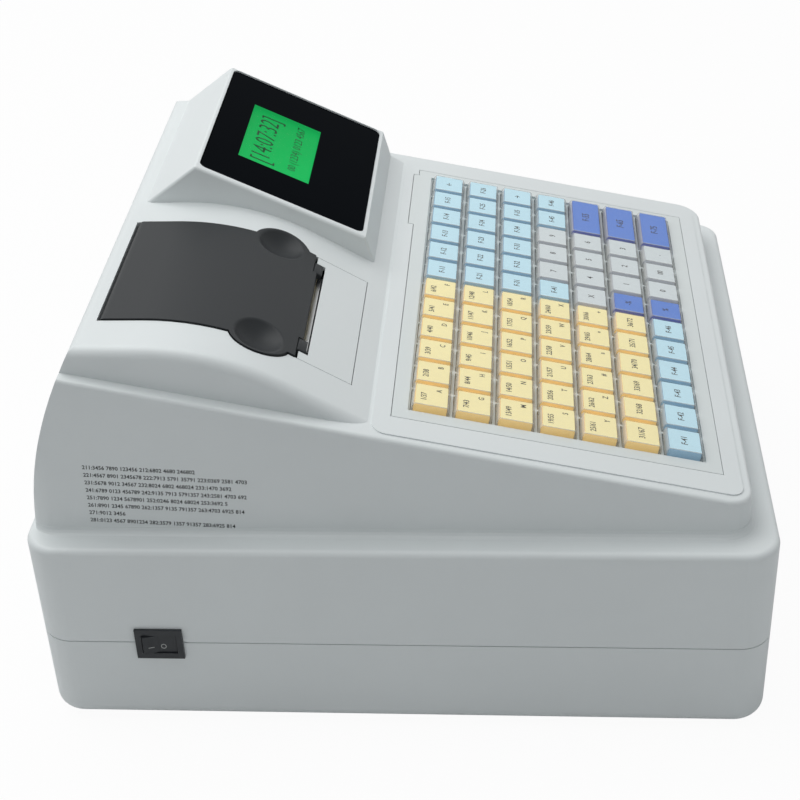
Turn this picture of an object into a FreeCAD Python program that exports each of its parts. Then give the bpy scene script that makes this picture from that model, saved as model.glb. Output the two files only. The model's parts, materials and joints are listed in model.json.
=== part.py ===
"""Ticket register: a small electronic cash register with a receipt printer and a built-in cash drawer.

Millimetres. +X is the operator's right, +Y points to the back and +Z is up. The origin is on the
surface that the feet stand on, below the middle of the case. The drawer opens towards -Y.
"""
import FreeCAD, Part
import Sketcher
import math
import os

doc = FreeCAD.newDocument("TicketRegister")
sheet = doc.addObject("Spreadsheet::Sheet", "Sizes")
nodes = []

# Driving dimensions: alias, size, what it is
SIZES = [
    # lower case
    ("case_width", 324, "lower case, side to side"),
    ("case_depth", 350, "lower case, front to back"),
    ("foot_rise", 3, "feet below the pan"),
    ("seam_height", 51.6, "seam between pan and drawer case"),
    ("rim_height", 107.3, "ledge that the top case stands on"),
    ("case_corner", 16, "upright corner radius"),
    ("case_wall", 2.5, "moulded wall"),
    ("pan_edge", 7, "rounding under the pan"),
    ("rim_edge", 3, "rounding of the rim"),
    ("seam_reveal", 0.6, "depth and height of the shadow line at the seam"),
    ("overrun", 1, "how far a cutting tool passes a face"),
    ("touch", 0.001, "nearer than this counts as touching"),
    ("bay_side", 13.5, "case beside the drawer opening"),
    ("bay_sill", 6.5, "drawer opening above the pan's underside"),
    ("bay_head", 9, "drawer opening below the rim"),
    # runners, bosses and screws
    ("gap", 0.3, "clearance between pieces that slide or sit loose"),
    ("runner_rise", 8.2, "runner rib above the pan floor"),
    ("runner_width", 6, "runner rib"),
    ("runner_inset", 7, "runner rib inside the tray's side"),
    ("guide_width", 3, "side guide rib"),
    ("guide_rise", 26, "side guide rib above the pan floor"),
    ("holddown_length", 90, "rib over the tray's edge"),
    ("boss_radius", 4.5, "screw boss"),
    ("boss_inset", 8.5, "boss centre inside the case's side"),
    ("boss_end_inset", 17, "boss centre inside the case's front and back"),
    ("screw_radius", 1.5, "case screw thread"),
    ("screw_play", 0.06, "radial play of a screw in its pilot hole"),
    ("screw_grip", 62, "case screw below its head"),
    ("head_radius", 2.9, "screw head"),
    ("head_rise", 2.2, "screw head"),
    ("head_sink", 5, "counterbore under the pan"),
    ("foot_radius", 9, "rubber foot"),
    ("foot_inset", 22, "foot centre inside the case's edge"),
    ("vent_count", 9, "slots in the rear wall"),
    ("vent_width", 3, "one slot"),
    ("vent_spacing", 8, "slot to slot"),
    ("vent_low", 12, "foot of the slots above the pan's underside"),
    ("vent_rise", 24, "slot height"),
    ("vent_centre", 55, "middle of the slots from the case's middle"),
    # drawer
    ("front_sink", 0.8, "drawer front behind the case front"),
    ("front_thick", 3, "drawer front panel"),
    ("front_gap", 0.8, "gap round the drawer front"),
    ("front_edge", 1.2, "rounding of the drawer front"),
    ("tray_side_gap", 5.5, "tray side inside the drawer opening"),
    ("tray_depth", 255, "tray, front to back"),
    ("tray_rise", 60, "tray wall"),
    ("tray_sheet", 1.5, "tray steel"),
    ("lock_radius", 8, "lock barrel"),
    ("lock_play", 0.06, "radial play of the lock barrel"),
    ("lock_proud", 1.4, "lock face ahead of the drawer front"),
    ("lock_drop", 13, "lock axis below the head of the opening"),
    ("lock_length", 15, "lock barrel behind the panel"),
    ("lock_cam_length", 18, "cam from the lock axis"),
    ("lock_cam_width", 7, "cam"),
    ("lock_cam_sheet", 2, "cam"),
    ("keyhole_width", 1.4, "slot in the lock face"),
    ("keyhole_length", 7, "slot in the lock face"),
    ("keyhole_depth", 4, "slot in the lock face"),
    # cash insert
    ("insert_gap", 1, "insert inside the tray"),
    ("media_depth", 19, "space for cheques ahead of the insert"),
    ("insert_back_gap", 12, "space behind the insert"),
    ("insert_rise", 44, "insert"),
    ("insert_wall", 2, "insert walls"),
    ("coin_depth", 92, "coin cups, front to back"),
    ("coin_cups", 5, "coin cups"),
    ("note_bays", 4, "note bays"),
    ("coin_scoop", 6, "rounding of a coin cup's floor"),
    ("cup_wall", 1.2, "coin cup"),
    ("cup_gap", 0.5, "play between the coin cups and round them"),
    ("clip_width", 8, "note clip arm"),
    ("clip_sheet", 2, "note clip arm"),
    ("clip_length", 92, "note clip, pivot to tip"),
    ("clip_slope", 17, "degrees that a resting clip leans down"),
    ("clip_barrel", 3, "clip pivot barrel radius"),
    ("clip_barrel_length", 18, "clip pivot barrel"),
    ("clip_pin", 1.5, "clip pivot pin radius"),
    ("clip_play", 0.06, "radial play of the clip pin"),
    ("ear_width", 3, "ears that carry a clip"),
    ("ear_rise", 13, "height of a clip's ear on the insert's rear wall"),
    ("shoe_rise", 3, "clip's pressing shoe"),
    ("shoe_length", 9, "clip's pressing shoe"),
    # drawer latch
    ("latch_sheet", 3, "latch hook"),
    ("latch_arm", 5, "height of the hook's arm"),
    ("latch_height", 33.5, "latch pivot above the ground"),
    ("latch_setback", 14, "latch pivot behind the tray"),
    ("latch_tip", 4, "hook tip, front to back"),
    ("latch_tip_drop", 5, "hook tip below the arm"),
    ("latch_reach", 3, "hook tip ahead of the tray's rear wall"),
    ("latch_pin", 1.5, "latch pin radius"),
    ("latch_play", 0.06, "radial play of the latch pin"),
    ("latch_slot_width", 9, "slot in the tray's rear wall"),
    ("latch_slot_low", 24.2, "foot of that slot above the ground"),
    ("latch_slot_rise", 15, "slot height"),
    ("coil_radius", 9, "latch solenoid"),
    # power side
    ("switch_setback", 59.4, "switch centre ahead of the case's back"),
    ("switch_length", 23, "switch bezel, front to back"),
    ("switch_rise", 17.6, "switch bezel"),
    ("switch_proud", 1.4, "switch bezel proud of the wall"),
    ("switch_hole_length", 20, "cut-out in the wall"),
    ("switch_hole_rise", 14, "cut-out in the wall"),
    ("switch_depth", 17, "switch body behind the wall"),
    ("rocker_radius", 8.2, "rocker, pivot to its ends"),
    ("rocker_tilt", 8, "degrees that the rocker leans each way"),
    ("rocker_proud", 1.9, "pressed-up end of the rocker beyond the pivot"),
    ("inlet_centre", 118, "power inlet from the case's middle"),
    ("inlet_height", 27, "power inlet above the ground"),
    ("inlet_flange_width", 31, "power inlet flange"),
    ("inlet_flange_rise", 24, "power inlet flange"),
    ("inlet_body_width", 27, "power inlet body"),
    ("inlet_body_rise", 20, "power inlet body"),
    ("inlet_depth", 18, "power inlet body"),
    ("inlet_flange", 1.5, "power inlet flange"),
    ("socket_width", 22, "recess that takes the plug"),
    ("socket_rise", 15, "recess that takes the plug"),
    ("socket_depth", 15, "recess that takes the plug"),
    ("blade_width", 4, "inlet blade"),
    ("blade_sheet", 2, "inlet blade"),
    ("blade_spacing", 7, "inlet blade to blade"),
    ("blade_length", 8, "inlet blade"),
    ("core_width", 62, "transformer core"),
    ("core_depth", 30, "transformer core"),
    ("core_rise", 40, "transformer core"),
    ("coil_bulge", 9, "winding beyond the core"),
    ("port_centre", 62, "data port from the case's middle"),
    ("port_drop", 19.3, "data port below the rim"),
    ("port_width", 31, "data port plate"),
    ("port_rise", 12.5, "data port plate"),
    ("port_shell_width", 17, "data port shell"),
    ("port_shell_rise", 8.4, "data port shell"),
    # top case
    ("top_inset_side", 13.5, "ledge beside the top case"),
    ("top_inset_front", 12.5, "ledge ahead of the top case"),
    ("top_inset_back", 3.5, "ledge behind the top case"),
    ("top_draft", 4.4, "how far the sides lean in over the draft height"),
    ("draft_height", 105, "height over which the draft is given"),
    ("top_corner", 13, "upright corner radius of the top case"),
    ("foot_flare", 3.6, "hollow rounding where the top case meets the ledge"),
    ("top_wall", 2.5, "wall of the top case"),
    ("deck_edge", 2, "rounding of the deck's edges"),
    ("slope", 12, "degrees that the keyboard slopes"),
    ("key_setback", 101.2, "middle of the keyboard from the front"),
    ("key_lift", 36.8, "middle of the keyboard's plate above the rim"),
    ("plateau_rise", 0.6, "raised field round the keyboard"),
    ("plateau_width", 284.6, "raised field, side to side"),
    ("plateau_length", 172, "raised field along the slope"),
    ("plateau_corner", 7, "raised field"),
    ("flare_steps", 4, "steps in that rounding"),
    # printer deck
    ("hump_lift", 94.9, "top of the printer deck above the rim"),
    ("hump_inset", 6, "printer deck inside the case's side"),
    ("crown_setback", 61.0, "where the printer deck starts to fall, from the rear wall"),
    ("hump_radius", 125, "curve of the printer deck"),
    ("hump_fall", 31, "degrees that the printer deck falls at its front"),
    ("hump_edge", 5, "rounding of the printer deck"),
    ("hump_setback", 169.0, "printer deck's front edge from the rear wall"),
    ("shoulder_back", 145.5, "rear shoulder of the printer deck"),
    ("shoulder_height", 196.7, "rear shoulder of the printer deck"),
    ("waist_back", 166.5, "middle of the rear curve"),
    ("waist_height", 139.7, "middle of the rear curve"),
    ("crown_back", 137, "rear end of the flat top"),
    # display hood
    ("hood_left", 5, "hood's left side from the middle"),
    ("hood_right", 136.3, "hood's right side from the middle"),
    ("hood_edge", 1.6, "rounding of the hood"),
    ("hood_setback", 155.5, "hood's front foot from the rear wall"),
    ("glass_slope", 25.8, "degrees that the display pane leans"),
    ("glass_setback", 109.2, "middle of the display pane from the rear wall"),
    ("glass_lift", 94.1, "middle of the display pane above the rim"),
    ("glass_left", 8.65, "display pane's left edge"),
    ("glass_width", 125.7, "display pane"),
    ("glass_length", 90.6, "display pane along its slope"),
    ("glass_thick", 2, "display pane"),
    ("glass_sink", 0.4, "pane below its rim"),
    ("glass_corner", 4, "display pane"),
    ("glass_rim", 1.9, "hood beyond the pane"),
    ("hood_brow", 14, "leaning part of the hood's front face"),
    ("glass_ledge", 5, "ledge under the pane's edge"),
    ("seat_thick", 2.2, "thickening under a pane"),
    ("hood_back_setback", 37.0, "foot of the hood's rear face from the rear wall"),
    ("hood_back_lift", 92.9, "foot of the hood's rear face above the rim"),
    ("board_sheet", 1.6, "circuit boards"),
    ("panel_margin", 4, "display board inside the pane's edge"),
    ("lcd_left", 27.35, "liquid crystal panel from the pane's left edge"),
    ("lcd_width", 72, "liquid crystal panel"),
    ("lcd_top", 14.8, "liquid crystal panel from the pane's rear edge"),
    ("lcd_length", 45, "liquid crystal panel"),
    # keyboard
    ("key_spacing", 20, "key to key"),
    ("key_columns", 12, "keys, side to side"),
    ("key_rows", 7, "keys along the slope"),
    ("plate_width", 255.4, "keyboard frame"),
    ("plate_length", 155, "keyboard frame along the slope"),
    ("plate_thick", 2, "keyboard frame's border"),
    ("plate_gap", 0.35, "seam round the keyboard frame"),
    ("jog_left", 60, "where the frame's rear edge steps back, from the middle"),
    ("jog_right", 121, "where the step ends"),
    ("jog_depth", 3, "step in the frame's rear edge"),
    ("border", 5.2, "frame's border outside its skirt"),
    ("web_sink", 1.4, "web below the plate's face"),
    ("web_thick", 1.8, "web between the keys"),
    ("key_hole", 18.6, "opening for one key"),
    ("skirt_wall", 2, "skirt under the frame"),
    ("skirt_drop", 9.5, "skirt below the plate's face"),
    ("key_body", 18, "key"),
    ("key_top_width", 17.2, "key top, side to side"),
    ("key_top_length", 16.4, "key top along the slope"),
    ("key_rise", 3.3, "key above the plate"),
    ("key_bevel", 1.9, "height of the key's bevel"),
    ("key_flange", 19.2, "catch under the web"),
    ("flange_thick", 1.5, "catch under the web"),
    ("key_hollow", 13, "hollow under the key"),
    ("key_skin", 2.6, "roof of the hollow"),
    ("mat_level", 8, "mat's face below the plate's face"),
    ("mat_thick", 1.5, "rubber mat"),
    ("dome_base", 11, "rubber dome"),
    ("dome_top", 7, "rubber dome"),
    ("dome_rise", 5.4, "rubber dome"),
    # printer
    ("printer_centre", -65, "middle of the printer from the middle"),
    ("cover_width", 95, "printer cover"),
    ("cover_setback", 128.7, "cover's front edge from the rear wall"),
    ("nose_setback", 130.5, "cover's front edge over the cutter, from the rear wall"),
    ("hinge_setback", 43.0, "cover hinge from the rear wall"),
    ("cover_proud", 0.8, "cover above the printer deck"),
    ("cover_thick", 2.6, "printer cover"),
    ("cover_gap", 0.6, "gap round the cover"),
    ("cover_barrel", 3, "hinge barrel"),
    ("cover_pin", 1.3, "hinge pin"),
    ("cover_play", 0.06, "radial play of the hinge pin"),
    ("cover_pin_length", 2.6, "hinge pin"),
    ("wing_radius", 13.5, "finger wing"),
    ("wing_setback", 112.5, "finger wings from the rear wall"),
    ("wing_inset", 4, "wing centre inside the cover's side"),
    ("scoop_rim", 1.2, "edge left round a finger scoop"),
    ("scoop_depth", 5.5, "finger scoop"),
    ("scoop_edge", 2, "rounding of a finger scoop's mouth"),
    ("hinge_ear", 3, "ear that holds the cover's pin"),
    ("slip_setback", 153.7, "printer front panel's front edge from the rear wall"),
    ("slip_back_setback", 133.8, "printer front panel's rear edge at the paper slot, from the rear wall"),
    ("slip_tab_setback", 129.7, "rear ends of the printer front panel's tabs, from the rear wall"),
    ("slip_tab_width", 6, "printer front panel's tabs"),
    ("slip_thick", 2, "printer front panel"),
    ("slip_gap", 0.35, "seam round the printer front panel"),
    ("cutter_length", 62, "cutter bar"),
    ("cutter_sheet", 0.8, "cutter bar"),
    ("cutter_width", 5, "cutter bar"),
    ("tooth_count", 31, "cutter teeth"),
    ("tooth_depth", 1.3, "cutter teeth"),
    ("roll_radius", 29, "paper roll"),
    ("roll_core", 6, "core of the paper roll"),
    ("roll_width", 57, "paper roll"),
    ("roll_setback", 77.0, "paper roll axis from the rear wall"),
    ("roll_lift", 57.4, "paper roll axis above the rim"),
    ("bucket_gap", 0.4, "paper roll to its bucket"),
    ("bucket_wall", 1.6, "paper bucket"),
    ("bucket_rise", 22, "bucket wall above the roll's axis"),
    ("platen_radius", 5, "platen rubber"),
    ("platen_shaft", 1.5, "platen shaft"),
    ("platen_play", 0.05, "radial play of the platen shaft"),
    ("platen_setback", 124.0, "platen axis from the rear wall"),
    ("platen_lift", 64.7, "platen axis above the rim"),
    ("frame_sheet", 1.5, "printer frame"),
    ("frame_width", 70, "printer frame"),
    ("frame_setback", 133.2, "printer frame's front from the rear wall"),
    ("frame_back_setback", 113.0, "printer frame's back from the rear wall"),
    ("frame_lift", 37.4, "printer frame above the rim"),
    ("frame_rise", 31.8, "printer frame's cheeks"),
    ("head_thick", 3, "print head"),
    ("head_gap", 0.3, "print head to platen"),
    ("tooth_module", 0.6, "gear module"),
    ("gear_teeth", 28, "platen gear"),
    ("pinion_teeth", 9, "motor pinion"),
    ("gear_width", 3, "platen gear"),
    ("gear_backlash", 0.3, "play between the gears"),
    ("motor_radius", 5.5, "feed motor"),
    ("motor_length", 16, "feed motor"),
    ("post_radius", 4, "posts under the printer"),
    # main board
    ("board_left", 12, "main board from the middle"),
    ("board_setback", 195.0, "main board's front from the rear wall"),
    ("board_width", 112, "main board"),
    ("board_length", 96, "main board"),
    ("board_lift", 8, "main board above the rim"),
    ("chip_size", 14, "largest chip"),
    ("chip_rise", 2.5, "largest chip"),
    ("can_radius", 5, "capacitor"),
    ("can_rise", 12, "capacitor"),
]

# Where each coloured block of keys sits: name, first row, last row, first column, last column.
# Rows run from the back to the front and columns from the left to the right, both from 1.
KEY_BANKS = [
    ("department_keys_rear", [(1, 2, 1, 6)]),
    ("department_keys_middle", [(3, 4, 1, 6)]),
    ("department_keys_front", [(5, 6, 1, 6)]),
    ("function_keys_rear", [(1, 3, 7, 12), (4, 4, 7, 7), (4, 4, 11, 12)]),
    ("function_keys_front", [(7, 7, 1, 6)]),
    ("key_7", [(4, 4, 8, 8)]),
    ("key_8", [(4, 4, 9, 9)]),
    ("key_9", [(4, 4, 10, 10)]),
    ("key_4", [(5, 5, 8, 8)]),
    ("key_5", [(5, 5, 9, 9)]),
    ("key_6", [(5, 5, 10, 10)]),
    ("key_1", [(6, 6, 8, 8)]),
    ("key_2", [(6, 6, 9, 9)]),
    ("key_3", [(6, 6, 10, 10)]),
    ("key_0", [(7, 7, 8, 8)]),
    ("key_00", [(7, 7, 9, 9)]),
    ("key_point", [(7, 7, 10, 10)]),
    ("key_quantity", [(5, 5, 7, 7)]),
    ("discount_keys", [(6, 7, 7, 7)]),
]
WIDE_KEYS = [("key_charge", 5), ("key_subtotal", 6), ("key_cash", 7)]
WIDE_FIRST_COLUMN = 11


class Length:
    """A size together with the sheet expression that gives it, so that it can drive a property."""

    def __init__(self, value, text):
        self.value = value
        self.text = text

    def __float__(self):
        return float(self.value)

    def __neg__(self):
        return Length(-self.value, "-(%s)" % self.text)

    def __add__(self, other):
        return Length(self.value + float(other), "(%s + %s)" % (self.text, text_of(other)))

    def __radd__(self, other):
        return Length(float(other) + self.value, "(%s + %s)" % (text_of(other), self.text))

    def __sub__(self, other):
        return Length(self.value - float(other), "(%s - %s)" % (self.text, text_of(other)))

    def __rsub__(self, other):
        return Length(float(other) - self.value, "(%s - %s)" % (text_of(other), self.text))

    def __mul__(self, other):
        return Length(self.value * float(other), "(%s * %s)" % (self.text, text_of(other)))

    __rmul__ = __mul__

    def __truediv__(self, other):
        return Length(self.value / float(other), "(%s / %s)" % (self.text, text_of(other)))


def text_of(size):
    """The expression text of a Length, or of a plain share."""
    return size.text if isinstance(size, Length) else repr(size)


class Sheet:
    """Reads the sheet's cells by their alias."""

    def __getattr__(self, alias):
        return Length(float(sheet.get(alias)), "Sizes." + alias)


def fill_sheet():
    """Write the driving dimensions into the sheet, one row each."""
    for index, (alias, value, meaning) in enumerate(SIZES):
        row = str(index + 1)
        sheet.set("A" + row, meaning)
        sheet.set("B" + row, str(value))
        sheet.setAlias("B" + row, alias)
    doc.recompute()


def node(label, obj):
    """Give a finished sub-part the name that its file gets."""
    obj.Label = label
    nodes.append(obj)
    return obj


def place(obj, x=None, y=None, z=None):
    """Bind an object's place to sizes of the sheet."""
    for axis, size in (("x", x), ("y", y), ("z", z)):
        if isinstance(size, Length):
            obj.setExpression("Placement.Base." + axis, size.text)


def block(name, x, y, z):
    """A box between two sizes along each axis."""
    box = doc.addObject("Part::Box", name)
    for prop, (low, high) in (("Length", x), ("Width", y), ("Height", z)):
        box.setExpression(prop, (high - low).text)
    place(box, x[0], y[0], z[0])
    return box


def rod(name, radius, axis, span, centre):
    """A cylinder along an axis, between two sizes, at two centre coordinates in axis order."""
    cylinder = doc.addObject("Part::Cylinder", name)
    cylinder.setExpression("Radius", radius.text)
    cylinder.setExpression("Height", (span[1] - span[0]).text)
    if axis == "x":
        cylinder.Placement.Rotation = FreeCAD.Rotation(FreeCAD.Vector(0, 1, 0), 90)
        place(cylinder, span[0], centre[0], centre[1])
    elif axis == "y":
        cylinder.Placement.Rotation = FreeCAD.Rotation(FreeCAD.Vector(1, 0, 0), -90)
        place(cylinder, centre[0], span[0], centre[1])
    else:
        place(cylinder, centre[0], centre[1], span[0])
    return cylinder


def fuse(name, shapes):
    """One solid from several that touch or overlap."""
    union = doc.addObject("Part::MultiFuse", name)
    union.Shapes = shapes
    union.Refine = True
    return union


def cut(name, base, tools):
    """A solid less one or more tools."""
    difference = doc.addObject("Part::Cut", name)
    difference.Base = base
    difference.Tool = tools[0] if len(tools) == 1 else fuse(name + "Tools", tools)
    difference.Refine = True
    return difference


def compound(name, shapes):
    """Several separate solids in one sub-part."""
    group = doc.addObject("Part::Compound", name)
    group.Links = shapes
    return group


def feature(name, shape):
    """A sub-part or tool whose shape comes from Part's own functions."""
    obj = doc.addObject("Part::Feature", name)
    obj.Shape = shape
    return obj


def outline(sketch, points):
    """Draw a closed outline of straight lines, each corner bound to sizes from the origin."""
    count = len(points)
    for index in range(count):
        (ax, ay), (bx, by) = points[index], points[(index + 1) % count]
        start = FreeCAD.Vector(float(ax), float(ay), 0)
        end = FreeCAD.Vector(float(bx), float(by), 0)
        sketch.addGeometry(Part.LineSegment(start, end))
    for index in range(count):
        sketch.addConstraint(Sketcher.Constraint("Coincident", index, 2, (index + 1) % count, 1))
    for index, (px, py) in enumerate(points):
        for kind, axis, size in (("DistanceX", -2, px), ("DistanceY", -1, py)):
            if isinstance(size, Length):
                number = sketch.addConstraint(Sketcher.Constraint(kind, -1, 1, index, 1, float(size)))
                sketch.setExpression("Constraints[%d]" % number, size.text)
            else:
                sketch.addConstraint(Sketcher.Constraint("PointOnObject", index, 1, axis))


def body_with_sketch(name, role, points):
    """A body with one sketch on one of its own origin planes."""
    body = doc.addObject("PartDesign::Body", name)
    sketch = body.newObject("Sketcher::SketchObject", name + "Outline")
    plane = next(item for item in body.Origin.OriginFeatures if item.Role == role)
    sketch.AttachmentSupport = [(plane, "")]
    sketch.MapMode = "FlatFace"
    outline(sketch, points)
    return body, sketch


def pad(name, role, points, low, high):
    """A body padded from an outline, between two sizes along the plane's axis."""
    body, sketch = body_with_sketch(name, role, points)
    feature_pad = body.newObject("PartDesign::Pad", name + "Pad")
    feature_pad.Profile = sketch
    feature_pad.setExpression("Length", (high - low).text)
    if role == "YZ_Plane":
        place(body, x=low)
    elif role == "XZ_Plane":
        place(body, y=high)
    else:
        place(body, z=low)
    return body


def turned(name, points, rotation=None):
    """A body revolved about its own upright axis from (radius, height) points."""
    body, sketch = body_with_sketch(name, "XZ_Plane", points)
    turn = body.newObject("PartDesign::Revolution", name + "Turn")
    turn.Profile = sketch
    turn.ReferenceAxis = (sketch, ["V_Axis"])
    turn.Angle = 360
    if rotation is not None:
        body.Placement.Rotation = rotation
    return body


def rounded_edges(body, name, radius, wanted):
    """Round the edges of a body's last feature that a test picks by their shape."""
    doc.recompute()
    tip = body.Tip
    names = ["Edge%d" % (i + 1) for i, edge in enumerate(tip.Shape.Edges) if wanted(edge)]
    rounding = body.newObject("PartDesign::Fillet", name)
    rounding.Base = (tip, names)
    rounding.setExpression("Radius", radius.text)
    return rounding


def upright(edge):
    """True for an edge that runs along Z."""
    a, b = edge.Vertexes[0].Point, edge.Vertexes[-1].Point
    return abs(a.x - b.x) + abs(a.y - b.y) < float(S.touch) < abs(a.z - b.z)


def level(edge, height):
    """True for an edge that lies at one height."""
    box = edge.BoundBox
    return abs(box.ZMin - height) < float(S.touch) and abs(box.ZMax - height) < float(S.touch)


def vec(x, y, z):
    """A point from sizes or plain numbers."""
    return FreeCAD.Vector(float(x), float(y), float(z))


def prism_x(points, low, high):
    """A solid from a closed outline of (y, z) points, between two places along X."""
    wire = Part.makePolygon([vec(low, y, z) for y, z in points + points[:1]])
    return Part.Face(wire).extrude(vec(high - low, 0, 0))


def prism_z(points, low, high):
    """A solid from a closed outline of (x, y) points, between two heights."""
    wire = Part.makePolygon([vec(x, y, low) for x, y in points + points[:1]])
    return Part.Face(wire).extrude(vec(0, 0, high - low))


def solid_box(x, y, z):
    """A plain solid between two places along each axis."""
    size = [float(pair[1]) - float(pair[0]) for pair in (x, y, z)]
    return Part.makeBox(size[0], size[1], size[2], vec(x[0], y[0], z[0]))


def rounded_rectangle(half_width, front, back, radius, height):
    """A level wire with four round corners."""
    w, f, b, r, z = (float(v) for v in (half_width, front, back, radius, height))
    s = r * (1 - math.sqrt(0.5))
    corners = [
        ((w, b - r), (w - s, b - s), (w - r, b)),
        ((-w + r, b), (-w + s, b - s), (-w, b - r)),
        ((-w, f + r), (-w + s, f + s), (-w + r, f)),
        ((w - r, f), (w - s, f + s), (w, f + r)),
    ]
    edges = []
    for index, (start, middle, end) in enumerate(corners):
        arc = Part.Arc(vec(*start, z), vec(*middle, z), vec(*end, z))
        edges.append(arc.toShape())
        following = corners[(index + 1) % len(corners)][0]
        edges.append(Part.LineSegment(vec(*end, z), vec(*following, z)).toShape())
    return Part.Wire(edges)


def on_plane(centre_y, centre_z, degrees):
    """The placement of a sloping plane: its own y runs up the slope and its z out of the face."""
    rotation = FreeCAD.Rotation(FreeCAD.Vector(1, 0, 0), float(degrees))
    return FreeCAD.Placement(vec(0, centre_y, centre_z), rotation)


fill_sheet()
S = Sheet()

# Places that several pieces share
half_width = S.case_width / 2
half_depth = S.case_depth / 2
key_level = S.rim_height + S.key_lift
hump_height = S.rim_height + S.hump_lift
glass_centre_z = S.rim_height + S.glass_lift
hood_back_height = S.rim_height + S.hood_back_lift
roll_height = S.rim_height + S.roll_lift
platen_height = S.rim_height + S.platen_lift
frame_low = S.rim_height + S.frame_lift
port_height = S.rim_height - S.port_drop
frame_high = frame_low + S.frame_rise
hump_crown = half_depth - S.crown_setback
hump_foot = half_depth - S.hump_setback
hood_front = half_depth - S.hood_setback
glass_centre_y = half_depth - S.glass_setback
hood_back = half_depth - S.hood_back_setback
cover_front = half_depth - S.cover_setback
cover_nose = half_depth - S.nose_setback
cover_axis = half_depth - S.hinge_setback
wing_centre = half_depth - S.wing_setback
slip_front = half_depth - S.slip_setback
slip_back = half_depth - S.slip_back_setback
slip_tab = half_depth - S.slip_tab_setback
roll_back = half_depth - S.roll_setback
platen_back = half_depth - S.platen_setback
frame_front = half_depth - S.frame_setback
frame_back = half_depth - S.frame_back_setback
board_front = half_depth - S.board_setback
key_centre = S.key_setback - half_depth
pan_floor = S.foot_rise + S.case_wall
roof_under = S.rim_height - S.case_wall
bay_low = S.foot_rise + S.bay_sill
bay_high = S.rim_height - S.bay_head
bay_half = half_width - S.bay_side
tray_half = bay_half - S.tray_side_gap
tray_low = pan_floor + S.runner_rise + S.gap
tray_high = tray_low + S.tray_rise
front_face = -half_depth + S.front_sink
tray_front = front_face + S.front_thick
tray_back = tray_front + S.tray_depth
switch_y = half_depth - S.switch_setback
key_plane = on_plane(key_centre, key_level, S.slope)
glass_plane = on_plane(glass_centre_y, glass_centre_z, S.glass_slope)
printer_low = S.printer_centre - S.cover_width / 2
printer_high = S.printer_centre + S.cover_width / 2
cover_axis_z = hump_height + S.cover_proud - S.cover_barrel


# Lower case

def case_block(name, low, high):
    """A body with the lower case's outline between two heights, its upright corners rounded."""
    points = [
        (-half_width, -half_depth),
        (half_width, -half_depth),
        (half_width, half_depth),
        (-half_width, half_depth),
    ]
    body = pad(name, "XY_Plane", points, low, high)
    rounded_edges(body, name + "Corners", S.case_corner, upright)
    return body


def hollow(body, name, height):
    """Shell a body to the case's wall, open at one height."""
    doc.recompute()
    tip = body.Tip
    opened = [
        "Face%d" % (i + 1)
        for i, face in enumerate(tip.Shape.Faces)
        if abs(face.BoundBox.ZMin - height) < float(S.touch) and abs(face.BoundBox.ZMax - height) < float(S.touch)
    ]
    shell = body.newObject("PartDesign::Thickness", name)
    shell.Base = (tip, opened)
    shell.setExpression("Value", S.case_wall.text)
    shell.Reversed = True
    return shell


def screw_places():
    """Where the six case screws stand."""
    x = half_width - S.boss_inset
    y = half_depth - S.boss_end_inset
    middle = -S.boss_end_inset
    return [(side * x, py) for side in (-1, 1) for py in (-y, middle, y)]


def drawer_opening(name):
    """The cutting tool for the drawer's opening in the front wall."""
    deep = S.case_wall + S.case_corner
    return block(
        name,
        (-bay_half, bay_half),
        (-half_depth - S.overrun, -half_depth + deep),
        (bay_low, bay_high),
    )


def switch_opening(name):
    """The cutting tool for the rocker switch in the left wall."""
    return block(
        name,
        (-half_width - S.overrun, -half_width + S.case_wall + S.overrun),
        (switch_y - S.switch_hole_length / 2, switch_y + S.switch_hole_length / 2),
        (S.seam_height - S.switch_hole_rise / 2, S.seam_height + S.switch_hole_rise / 2),
    )


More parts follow.
